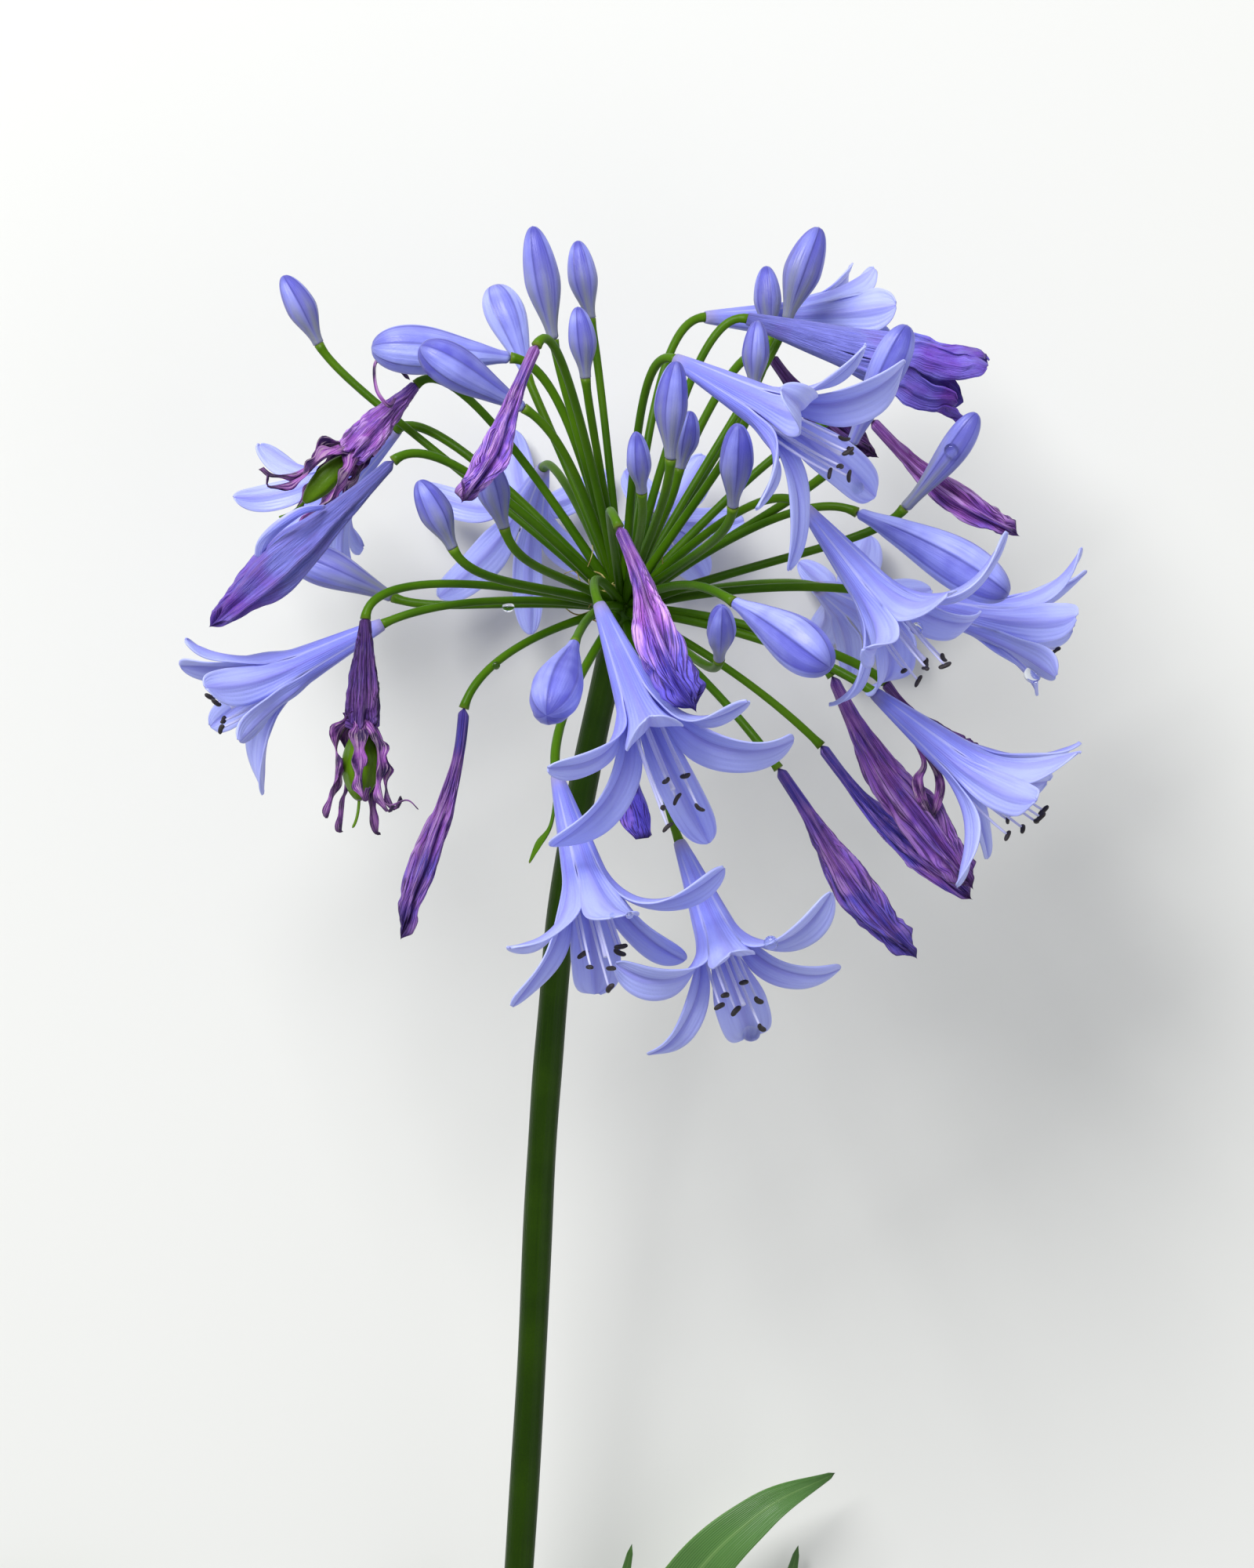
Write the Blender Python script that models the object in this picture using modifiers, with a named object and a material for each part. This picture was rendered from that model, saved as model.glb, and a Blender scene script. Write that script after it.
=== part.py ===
"""An agapanthus plant, cut at the ground and laid on its side.

The plant lies along +Y with its flower head at the far end. The origin is the middle of the flat spot under
its foot, the joined leaf bases.
The side that faces up (+Z) is the side that shows the most flowers.
Each flower stands on its own stalk, and all stalks spring from one small dome on top of the tall stem.
"""

import math
import random
from collections import namedtuple

import bmesh
import bpy
from mathutils import Matrix, Vector

MM = 0.001
CLEARANCE = 0.3 * MM

# The foot, the tall stem and the dome that carries the flower stalks
FOOT_LENGTH = 24 * MM
FOOT_WIDTH = 27 * MM
FOOT_HEIGHT = 17 * MM
FOOT_SIDES = 20
FOOT_CUT_SHARE = 0.92
FOOT_FLAT_DEPTH = 0.9 * MM
SOCKET_LENGTH = 40 * MM
STEM_FOOT_RADIUS = 3.5 * MM
STEM_TOP_RADIUS = 3.2 * MM
STEM_POINTS = 10
STEM_BEVEL_RESOLUTION = 3
HEAD_CENTRE = Vector((35, 358, 85)) * MM
DOME_RADIUS = 5.0 * MM
# The stem's middle line, in mm from the head's centre, from the dome down to the foot
STEM_LINE = [(-1, -5, -1), (-7, -30, -6), (-13, -62, -13), (-16, -92, -19), (-18.5, -125, -26),
             (-21, -175, -36), (-25, -235, -49), (-30, -300, -62.5), (-34.5, -356, -74)]

# The stalks of the flowers
STALK_RADIUS = 0.95 * MM
STALK_POINTS = 5
STALK_BEND = 9 * MM
STALK_ARCH = 3 * MM
STALK_ROOT_SHARE = 0.45
STALK_STRAIGHT_SHARE = 0.62
STALK_STEP_POWER = 1.6
STALK_END_SHARE = 1.15

# The open flower
TEPALS = 6
TEPAL_THICKNESS = 0.65 * MM
TUBE_SHARE = 0.40
TUBE_FOOT_RADIUS = 1.25 * MM
TUBE_ANGLE = math.radians(8)
FLARE_START = 0.38
INNER_HALF_WIDTH = 4.7 * MM
OUTER_HALF_WIDTH = 3.5 * MM
WIDEST_SHARE = 0.52
LOBE_BLUNTNESS = 2.4
LOBE_CURL_RADIUS = 9 * MM
INNER_HALF_SECTOR = math.radians(34)
OUTER_HALF_SECTOR = math.radians(26)
LOBE_GAP = 0.5 * MM
FLARE_SPREAD = math.radians(6)
UPPER_FLARE = math.radians(10)
SIDE_BEND_SPREAD = 2.0 * MM
GROWS_UP = Vector((0, 0.95, 0.3))
TEPAL_ROWS = [0, 0.40, 0.54, 0.70, 0.87, 1.0]
PROFILE_STEPS = 60
FILAMENT_RADIUS = 0.5 * MM
ANTHER_SIZE = Vector((1.5, 1.5, 3.4)) * MM
ANTHER_TURN = 1.1
ANTHER_TILT = math.radians(70)
STAMEN_ROOT = Vector((3.4, 16)) * MM
STAMEN_SPREAD = (3.2, 5.0)
STAMEN_REACH = (0.74, 0.90)
STAMEN_DROOP = 1.8 * MM
STYLE_REACH = 0.80

# The closed bud: its neck, its swelling and its tip, as shares of its length and of its thickest radius
BUD_NECK_RADIUS = 0.46
BUD_NECK_END = 0.22
BUD_SWELL_START = 0.08
BUD_SWELL_LENGTH = 0.52
BUD_TIP_START = 0.62
BUD_TIP_BLUNTNESS = 2.2
BUD_RIDGE = 0.05
BUD_MESH = {"bud": (12, 7), "small_bud": (9, 6)}

# The closed or faded flower, in the same shares
FADED_NECK_RADIUS = 0.42
FADED_NECK_END = 0.25
FADED_SWELL_START = 0.12
FADED_SWELL_LENGTH = 0.50
FADED_TAPER_START = 0.62
FADED_FLATTENING = 0.14
FADED_RAG = 1.2 * MM
FADED_MESH = (12, 8)
# How deep such a flower is folded, how far it bows to its low side, and how wide its end stays
FADED_HABITS = {
    "closing": (0.10, 0.5 * MM, 0.34),
    "wilting": (0.12, 1.0 * MM, 0.95),
    "faded": (0.20, 2.2 * MM, 0.50),
}

# The dried flower round its seed pod
DRIED_TUBE_SHARE = 0.46
DRIED_FOLD = 0.10
DRIED_MESH = (12, 7)
POD_LENGTH_SHARE = 0.36
POD_RADIUS = 3.7 * MM
POD_RIDGE = 0.10
POD_MESH = (9, 7)
RIBBON_ROWS = 4
RIBBON_ROOT = 3 * MM
RIBBON_ROOT_RADIUS = 2.1 * MM
RIBBON_BOW = (5.4, 6.6)
RIBBON_CURL = (2.0, 7.0)
RIBBON_CURL_START = 0.6
RIBBON_REACH = (0.8, 1.0)
RIBBON_HALF_WIDTH = 1.5 * MM
RIBBON_NARROWING = 0.9 * MM
RIBBON_THICKNESS = 0.7 * MM

# Colour and roughness of each material
FINISHES = {
    "petal": ((0.30, 0.33, 0.85, 1), 0.45),
    "bud": ((0.22, 0.22, 0.62, 1), 0.45),
    "faded": ((0.28, 0.13, 0.48, 1), 0.6),
    "stalk": ((0.10, 0.25, 0.02, 1), 0.45),
    "leaf": ((0.10, 0.30, 0.06, 1), 0.45),
    "pod": ((0.13, 0.28, 0.03, 1), 0.45),
    "foot": ((0.55, 0.62, 0.30, 1), 0.5),
}

# One line for each flower, bud and faded flower. Seats are in mm from the head's centre, as (right, along the
# plant, up), and aim is the way the flower points. For an open flower the shape value is the angle in degrees
# to which its lobes flare, and for any other the radius of its thickest place in mm. Turn is in degrees about
# the flower's own axis.
Bloom = namedtuple("Bloom", "name kind seat aim length shape turn")
BLOOMS = [
    Bloom("open_front", "open", (-5, -1, 53), (0.32, -0.79, 0.50), 60, 72, 30),
    Bloom("open_low_left", "open", (-14, -37, 45), (0.25, -0.88, 0.40), 53, 62, 188),
    Bloom("open_low_right", "open", (12, -51, 36), (0.33, -0.82, 0.46), 51, 64, 180),
    Bloom("open_right", "open", (54, -19, 22), (0.77, -0.62, 0.08), 50, 55, 30),
    Bloom("open_top_right", "open", (11, 51, 45), (0.76, -0.45, 0.45), 56, 62, 30),
    Bloom("open_mid_right", "open", (39, 20, 34), (0.60, -0.76, 0.20), 52, 58, 0),
    Bloom("open_far_right", "open", (58, 3, -6), (0.97, -0.24, 0.02), 47, 44, 30),
    Bloom("open_top_back", "open", (18, 65, -15), (0.97, -0.01, -0.25), 44, 34, 30),
    Bloom("open_left", "open", (-52, -4, 15), (-0.88, -0.46, 0.10), 47, 44, 30),
    Bloom("open_left_back", "open", (-50, 40, -12), (-0.58, -0.48, -0.65), 46, 50, 0),
    Bloom("open_back", "open", (-18, 33, -37.68), (-0.16, -0.36, -0.92), 52, 72, 0),
    Bloom("open_under_right", "open", (44, 6, -40.32), (0.30, -0.12, -0.95), 45, 40, 0),
    Bloom("open_back_centre", "open", (6, 22, -38), (0.15, -0.05, -0.98), 40, 50, 20),
    Bloom("closing_right", "wilting", (27, 63, 5), (0.96, -0.28, 0.02), 52, 4.6, 0),
    Bloom("closing_left", "closing", (-49, 31, 25), (-0.73, -0.67, 0.12), 54, 5.8, 0),
    Bloom("bud_flat_left", "bud", (-24, 54, 10), (-0.98, 0.06, 0.15), 31, 5.2, 0),
    Bloom("bud_mid_left", "bud", (-21, 42, 22), (-0.83, 0.48, 0.28), 27, 4.6, 0),
    Bloom("bud_high_left", "bud", (-21, 51, -8), (-0.34, 0.90, -0.25), 23, 4.4, 0),
    Bloom("bud_front_left", "bud", (-10, -9, 58), (-0.20, -0.56, 0.80), 28, 5.3, 0),
    Bloom("bud_front_right", "bud", (23, 0, 45), (0.70, -0.50, 0.52), 29, 5.4, 0),
    Bloom("bud_big_right", "bud", (50, 20, 22), (0.86, -0.48, 0.18), 38, 6.0, 0),
    Bloom("bud_low_left", "bud", (-50, 2, 2), (-0.90, 0.38, -0.20), 26, 4.4, 0),
    Bloom("bud_leaning_right", "bud", (61, 21, 8), (0.58, 0.76, 0.28), 27, 4.3, 0),
    Bloom("bud_behind_right", "bud", (49, 34, 22), (0.41, 0.88, 0.22), 29, 4.8, 0),
    Bloom("small_bud_far_left", "small_bud", (-67, 58, -8), (-0.46, 0.88, 0.10), 17.5, 3.3, 0),
    Bloom("small_bud_tall", "small_bud", (-15, 57, 15), (-0.18, 0.97, 0.10), 25.5, 3.8, 0),
    Bloom("small_bud_top", "small_bud", (-7, 63, -2), (-0.17, 0.98, 0.00), 18, 3.2, 0),
    Bloom("small_bud_top_front", "small_bud", (-8, 48, 25), (-0.11, 0.97, 0.20), 16, 3.0, 0),
    Bloom("small_bud_top_right", "small_bud", (36, 63, -4), (0.32, 0.94, 0.05), 22, 4.1, 0),
    Bloom("small_bud_beside", "small_bud", (32.5, 60, -11), (-0.05, 0.98, 0.05), 16, 3.1, 0),
    Bloom("small_bud_pale", "small_bud", (28, 45, 30), (0.05, 0.97, 0.15), 15.5, 3.0, 0),
    Bloom("small_bud_upright", "small_bud", (10, 29, 52), (0.05, 0.90, 0.35), 22, 3.5, 0),
    Bloom("small_bud_hidden", "small_bud", (12, 28, 38), (0.18, 0.95, 0.25), 13, 2.6, 0),
    Bloom("small_bud_mid_right", "small_bud", (23, 19, 55), (0.04, 0.75, 0.65), 22, 3.6, 0),
    Bloom("small_bud_centre", "small_bud", (4, 22, 58), (-0.08, 0.75, 0.65), 16, 2.6, 0),
    Bloom("small_bud_left", "small_bud", (-36, 11, 38), (-0.42, 0.85, 0.30), 17, 3.4, 0),
    Bloom("small_bud_front", "small_bud", (20, -13, 62), (0.02, 0.60, 0.80), 18, 3.1, 0),
    Bloom("small_bud_mid_left", "small_bud", (-25, 15, 42), (-0.25, 0.93, 0.25), 17, 3.4, 0),
    Bloom("faded_top_left", "faded", (-18, 54, 48), (-0.39, -0.85, 0.33), 40, 4.0, 0),
    Bloom("faded_low_left", "faded", (-34, -22, 28), (-0.26, -0.96, 0.08), 52, 3.6, 0),
    Bloom("faded_low_right", "faded", (33, -35, 30), (0.58, -0.80, 0.12), 51, 4.6, 0),
    Bloom("faded_right", "faded", (45, -15, 18), (0.55, -0.83, -0.02), 56, 5.4, 0),
    Bloom("faded_right_back", "faded", (43, -30, 4), (0.70, -0.71, -0.05), 48, 3.4, 0),
    Bloom("faded_front", "faded", (-1, 15, 65), (0.36, -0.87, 0.34), 45, 5.0, 0),
    Bloom("faded_top_right", "faded", (33, 57, -22), (0.72, -0.66, -0.20), 34, 3.9, 0),
    Bloom("faded_far_right", "faded", (54, 41, 5), (0.78, -0.60, -0.10), 42, 4.2, 0),
    Bloom("faded_behind_right", "faded", (57, -16, 2), (0.76, -0.62, -0.15), 30, 3.2, 0),
    Bloom("podded_left", "podded", (-45, 49, 3), (-0.68, -0.72, 0.06), 44, 4.2, 0),
    Bloom("podded_low_left", "podded", (-55, -3, 32), (-0.03, -0.99, 0.10), 48, 3.8, 0),
]

# The leaves: points in mm from the origin along the middle line, and half widths in mm at even steps along it
LEAVES = {
    "leaf_long_right": ([(9, 13.4, 3.4), (18, 48, 2.2), (30, 88, 7), (48, 131, 20), (66, 151, 24),
                         (84, 160, 20)],
                        [4.0, 7.5, 8.5, 7.0, 4.5, 0.5]),
    "leaf_young": ([(9, 13.4, 10), (17, 48, 12), (26, 93, 19), (37, 145, 30)],
                   [3.2, 5.0, 5.0, 0.5]),
    "leaf_low_right": ([(9, 15.0, 6.7), (34, 46, 9), (62, 88, 14), (76, 141, 3.5)],
                       [3.6, 6.5, 7.0, 0.5]),
    "leaf_left": ([(-8, 13.4, 10), (-18, 48, 13), (-24, 88, 14), (-8, 136, 6)],
                  [3.6, 7.0, 7.0, 0.5]),
    "leaf_long_left": ([(-9, 14.2, 4.4), (-34, 54, 3.0), (-66, 96, 8), (-100, 120, 12), (-132, 124, 2)],
                       [4.0, 8.0, 8.5, 6.5, 0.5]),
}
LEAF_THICKNESS = 1.3 * MM
LEAF_TIP_HALF_WIDTH = 0.3 * MM
LEAF_ROWS = 9
LEAF_CHANNEL = 0.22

# The shares of a closed shape's length over which its foot rounds off and its blunt end closes
ROUND_END = 0.04
BLUNT_END = 0.05
SHARP_ANGLE = math.radians(50)


def clear_scene():
    """Removes whatever the file holds, so that only the plant is left."""
    for thing in list(bpy.data.objects):
        bpy.data.objects.remove(thing, do_unlink=True)


def collection_named(name):
    """A new collection in the scene."""
    made = bpy.data.collections.new(name)
    bpy.context.scene.collection.children.link(made)
    return made


def finish_named(name):
    """The material of that name, made once."""
    found = bpy.data.materials.get(name)
    if found:
        return found
    colour, roughness = FINISHES[name]
    made = bpy.data.materials.new(name)
    made.use_nodes = True
    shader = made.node_tree.nodes["Principled BSDF"]
    shader.inputs["Base Color"].default_value = colour
    shader.inputs["Roughness"].default_value = roughness
    shader.inputs["Metallic"].default_value = 0.0
    return made


def add_mesh(name, mesh, finish, collection):
    """A new object of that mesh and material."""
    made = bpy.data.objects.new(name, mesh)
    mesh.materials.clear()
    mesh.materials.append(finish_named(finish))
    collection.objects.link(made)
    return made


def mesh_from(shape, name):
    """A mesh of what the bmesh holds, with its faces turned outwards."""
    bmesh.ops.recalc_face_normals(shape, faces=shape.faces)
    mesh = bpy.data.meshes.new(name)
    shape.to_mesh(mesh)
    shape.free()
    return mesh


def smoothstep(share):
    """0 below 0, 1 above 1 and a soft step between."""
    share = min(max(share, 0.0), 1.0)
    return share * share * (3 - 2 * share)


def smooth_line(points, count):
    """Points evenly spaced in parameter on one smooth curve through the given points."""
    padded = [2 * points[0] - points[1], *points, 2 * points[-1] - points[-2]]
    line = []
    for step in range(count):
        place = step / (count - 1) * (len(points) - 1)
        first = min(int(place), len(points) - 2)
        t = place - first
        a, b, c, d = padded[first:first + 4]
        line.append(0.5 * (2 * b + (c - a) * t + (2 * a - 5 * b + 4 * c - d) * t ** 2
                           + (3 * b - a - 3 * c + d) * t ** 3))
    return line


def tube_mesh(name, line, radii, resolution):
    """A closed tube along a line of points, its caps joined to its sides."""
    curve = bpy.data.curves.new(name, "CURVE")
    curve.dimensions = "3D"
    curve.bevel_depth = 1.0
    curve.bevel_resolution = resolution
    curve.use_fill_caps = True
    spline = curve.splines.new("POLY")
    spline.points.add(len(line) - 1)
    for point, place, radius in zip(spline.points, line, radii):
        point.co = (*place, 1)
        point.radius = radius
    holder = bpy.data.objects.new(name, curve)
    bpy.context.scene.collection.objects.link(holder)
    graph = bpy.context.evaluated_depsgraph_get()
    mesh = bpy.data.meshes.new_from_object(holder.evaluated_get(graph))
    bpy.data.objects.remove(holder)
    shape = bmesh.new()
    shape.from_mesh(mesh)
    bmesh.ops.remove_doubles(shape, verts=shape.verts, dist=0.01 * MM)
    shape.to_mesh(mesh)
    shape.free()
    return mesh


def thicken(target, thickness):
    """Gives an open surface a wall of that thickness, half on each side."""
    wall = target.modifiers.new("Wall", "SOLIDIFY")
    wall.thickness = thickness
    wall.offset = 0


def fuse(target, meshes):
    """Joins the meshes to the target by one Boolean union, and keeps only the joined body."""
    joined = bpy.data.collections.new(target.name + "_pieces")
    bpy.context.scene.collection.children.link(joined)
    for number, mesh in enumerate(meshes):
        joined.objects.link(bpy.data.objects.new(f"{target.name}_piece_{number}", mesh))
    union = target.modifiers.new("Union", "BOOLEAN")
    union.operation = "UNION"
    union.operand_type = "COLLECTION"
    union.collection = joined
    union.solver = "EXACT"
    graph = bpy.context.evaluated_depsgraph_get()
    fused = bpy.data.meshes.new_from_object(target.evaluated_get(graph))
    target.modifiers.clear()
    target.data = fused
    for piece in list(joined.objects):
        bpy.data.objects.remove(piece)
    bpy.data.collections.remove(joined)


def place_of(bloom):
    """Where a bloom's own frame stands: its +Z along its aim, and its +X towards the sky it grew under."""
    axis = Vector(bloom.aim).normalized()
    side = (GROWS_UP - axis * axis.dot(GROWS_UP)).normalized()
    other = axis.cross(side)
    turn = Matrix((side, other, axis)).transposed() @ Matrix.Rotation(math.radians(bloom.turn), 3, "Z")
    return Matrix.Translation(HEAD_CENTRE + Vector(bloom.seat) * MM) @ turn.to_4x4()


def tepal_habits(bloom):
    """For each tepal of a flower, how much more it flares and how far its tip bends to one side."""
    draw = random.Random(bloom.name)
    habits = []
    for index in range(TEPALS):
        upper = math.cos(2 * math.pi * index / TEPALS + math.radians(bloom.turn))
        habits.append((upper * UPPER_FLARE + draw.uniform(-1, 1) * FLARE_SPREAD,
                       draw.uniform(-1, 1) * SIDE_BEND_SPREAD))
    return habits


def tepal_profile(length, flare):
    """Radius, height and lean of a tepal's middle line at even steps, for lobes that flare to that angle."""
    radius, height = TUBE_FOOT_RADIUS, TEPAL_THICKNESS / 2
    step = length / PROFILE_STEPS
    profile = []
    for number in range(PROFILE_STEPS + 1):
        share = number / PROFILE_STEPS
        lean = TUBE_ANGLE + (flare - TUBE_ANGLE) * smoothstep((share - FLARE_START) / (1 - FLARE_START))
        profile.append((radius, height, lean))
        radius += step * math.sin(lean)
        height += step * math.cos(lean)
    return profile


def lobe_half_width(share, tube_edge, widest):
    """Half the width of a free lobe, from the tube's edge at 0 to the tip at 1."""
    if share < WIDEST_SHARE:
        return tube_edge + (widest - tube_edge) * math.sin(share / WIDEST_SHARE * math.pi / 2)
    past = (share - WIDEST_SHARE) / (1 - WIDEST_SHARE)
    return widest * math.sqrt(max(0.0, 1 - past ** LOBE_BLUNTNESS))


def tepal_point(profile, index, side_bend, across, along):
    """A point of tepal number index, across from -1 to 1 and along from 0 at the foot to 1 at the tip."""
    heading = 2 * math.pi * index / TEPALS
    radius, height, lean = profile[round(along * PROFILE_STEPS)]
    half_slice = math.pi / TEPALS
    if along <= TUBE_SHARE:
        angle = heading + across * half_slice
        return Vector((radius * math.cos(angle), radius * math.sin(angle), height))
    share = (along - TUBE_SHARE) / (1 - TUBE_SHARE)
    tube_radius = profile[round(TUBE_SHARE * PROFILE_STEPS)][0]
    widest = INNER_HALF_WIDTH if index % 2 == 0 else OUTER_HALF_WIDTH
    sector = INNER_HALF_SECTOR if index % 2 == 0 else OUTER_HALF_SECTOR
    room = max(tube_radius * half_slice, radius * math.tan(sector) - LOBE_GAP)
    half = min(room, lobe_half_width(share, tube_radius * half_slice, widest))
    curl = tube_radius + (LOBE_CURL_RADIUS - tube_radius) * smoothstep(2 * share)
    lateral = curl * math.sin(across * half / curl)
    lift = curl * (1 - math.cos(across * half / curl))
    outwards = Vector((math.cos(heading), math.sin(heading), 0))
    sideways = Vector((-math.sin(heading), math.cos(heading), 0))
    upwards = Vector((0, 0, 1))
    outer_face = outwards * math.cos(lean) - upwards * math.sin(lean)
    lateral += side_bend * share ** 2
    return outwards * radius + upwards * height + sideways * lateral - outer_face * lift


def tepal_sheet(shape, profile, index, side_bend):
    """Adds one tepal to the flower: a grid that is bent into its funnel and lobe."""
    rows = len(TEPAL_ROWS) - 1
    grid = bmesh.ops.create_grid(shape, x_segments=2, y_segments=rows, size=1)
    for vertex in grid["verts"]:
        row = round((vertex.co.y + 1) / 2 * rows)
        vertex.co = tepal_point(profile, index, side_bend, round(vertex.co.x), TEPAL_ROWS[row])


def rod_mesh(name, start, end, radius):
    """A slim three-sided rod between two points."""
    way = end - start
    shape = bmesh.new()
    place = Matrix.Translation((start + end) / 2) @ way.to_track_quat("Z", "Y").to_matrix().to_4x4()
    bmesh.ops.create_cone(shape, segments=3, cap_ends=True, radius1=radius, radius2=radius,
                          depth=way.length, matrix=place)
    return mesh_from(shape, name)


def stamen_meshes(bloom):
    """Six stamens and the style of an open flower, each a slim rod with its anther across the end."""
    length = bloom.length * MM
    up = Vector((0, 0, 1))
    low_side = place_of(bloom).to_3x3().transposed() @ -GROWS_UP
    low_side.z = 0
    meshes = []
    for index in range(TEPALS):
        draw = random.Random(f"{bloom.name} stamen {index}")
        heading = 2 * math.pi * index / TEPALS
        outwards = Vector((math.cos(heading), math.sin(heading), 0))
        root = outwards * STAMEN_ROOT.x + up * STAMEN_ROOT.y
        spread = draw.uniform(*STAMEN_SPREAD) * MM
        end = outwards * spread + low_side * STAMEN_DROOP + up * draw.uniform(*STAMEN_REACH) * length
        meshes.append(rod_mesh("stamen", root, end, FILAMENT_RADIUS))
        turn = Matrix.Rotation(heading + ANTHER_TURN, 4, "Z") @ Matrix.Rotation(ANTHER_TILT, 4, "X")
        anther = bmesh.new()
        bmesh.ops.create_uvsphere(anther, u_segments=4, v_segments=2, radius=0.5,
                                  matrix=Matrix.Translation(end) @ turn @ Matrix.Diagonal((*ANTHER_SIZE, 1)))
        meshes.append(mesh_from(anther, "anther"))
    foot_end = Vector((0, 0, TEPAL_THICKNESS / 2))
    meshes.append(rod_mesh("style", foot_end, up * STYLE_REACH * length, FILAMENT_RADIUS))
    return meshes


def open_flower(bloom, collection):
    """A trumpet of six tepals, joined below in a tube and free above, with its stamens inside."""
    shape = bmesh.new()
    length = bloom.length * MM
    for index, (extra_flare, side_bend) in enumerate(tepal_habits(bloom)):
        profile = tepal_profile(length, math.radians(bloom.shape) + extra_flare)
        tepal_sheet(shape, profile, index, side_bend)
    bmesh.ops.remove_doubles(shape, verts=shape.verts, dist=0.02 * MM)
    rim = [edge for edge in shape.edges if edge.is_boundary]
    foot_rim = [edge for edge in rim if all(vertex.co.z < TEPAL_THICKNESS for vertex in edge.verts)]
    bmesh.ops.contextual_create(shape, geom=foot_rim)
    flower = add_mesh(bloom.name, mesh_from(shape, bloom.name), "petal", collection)
    thicken(flower, TEPAL_THICKNESS)
    graph = bpy.context.evaluated_depsgraph_get()
    flower.data = bpy.data.meshes.new_from_object(flower.evaluated_get(graph))
    flower.modifiers.clear()
    fuse(flower, stamen_meshes(bloom))
    flower.matrix_world = place_of(bloom)


def spindle(name, sides, rings, outline):
    """A closed spindle: a sphere whose points are moved to outline(turn, share) by heading and height."""
    shape = bmesh.new()
    bmesh.ops.create_uvsphere(shape, u_segments=sides, v_segments=rings, radius=1)
    for vertex in shape.verts:
        even = 1 - math.acos(max(-1.0, min(1.0, vertex.co.z))) / math.pi
        share = (even + (1 - math.cos(math.pi * even)) / 2) / 2
        vertex.co = outline(math.atan2(vertex.co.y, vertex.co.x), share)
    return mesh_from(shape, name)


def bud(bloom, collection):
    """A closed bud: a narrow tube that swells to six soft ridges and comes to a blunt point."""
    length, girth = bloom.length * MM, bloom.shape * MM

    def outline(turn, share):
        neck_radius = BUD_NECK_RADIUS * girth
        neck = TUBE_FOOT_RADIUS + (neck_radius - TUBE_FOOT_RADIUS) * smoothstep(share / BUD_NECK_END)
        swell = (girth - neck_radius) * smoothstep((share - BUD_SWELL_START) / BUD_SWELL_LENGTH)
        past = max(0.0, (share - BUD_TIP_START) / (1 - BUD_TIP_START))
        tip = math.sqrt(max(0.0, 1 - past ** BUD_TIP_BLUNTNESS))
        ridges = 1 + BUD_RIDGE * math.cos(TEPALS * turn) * smoothstep(share * 2)
        radius = (neck + swell) * tip * ridges * smoothstep(share / ROUND_END)
        return Vector((radius * math.cos(turn), radius * math.sin(turn), share * length))

    made = add_mesh(bloom.name, spindle(bloom.name, *BUD_MESH[bloom.kind], outline), "bud", collection)
    made.matrix_world = place_of(bloom)


def faded_outline(bloom):
    """The outline of a collapsed flower: folded, a little flat, bent and twisted, with a ragged end."""
    draw = random.Random(bloom.name)
    length, girth = bloom.length * MM, bloom.shape * MM
    folds, bow, end = FADED_HABITS[bloom.kind]
    twist = draw.uniform(0.3, 0.9)
    phase = draw.uniform(0, 2 * math.pi)

    def outline(turn, share):
        neck_radius = FADED_NECK_RADIUS * girth
        neck = TUBE_FOOT_RADIUS + (neck_radius - TUBE_FOOT_RADIUS) * smoothstep(share / FADED_NECK_END)
        swell = (girth - neck_radius) * smoothstep((share - FADED_SWELL_START) / FADED_SWELL_LENGTH)
        taper = 1 - (1 - end) * smoothstep((share - FADED_TAPER_START) / (1 - FADED_TAPER_START))
        depth = folds * smoothstep(share * 2.2)
        folded = 1 + depth * math.cos(TEPALS * (turn + twist * share) + phase)
        flat = 1 + FADED_FLATTENING * math.cos(2 * turn + phase) * smoothstep(share * 2)
        closed = smoothstep(share / ROUND_END) * smoothstep((1 - share) / BLUNT_END)
        ragged = FADED_RAG * math.cos(3 * turn + phase) * smoothstep((share - 0.8) / 0.2) * closed
        radius = (neck + swell) * taper * folded * flat * closed
        sway = bow * math.sin(math.pi * share)
        return Vector((radius * math.cos(turn) - sway, radius * math.sin(turn), share * length + ragged))

    return outline


def faded_flower(bloom, collection):
    """A flower that is closing, or has collapsed and dried in folds."""
    finish = "faded" if bloom.kind == "faded" else "petal"
    made = add_mesh(bloom.name, spindle(bloom.name, *FADED_MESH, faded_outline(bloom)), finish, collection)
    made.matrix_world = place_of(bloom)


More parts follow.
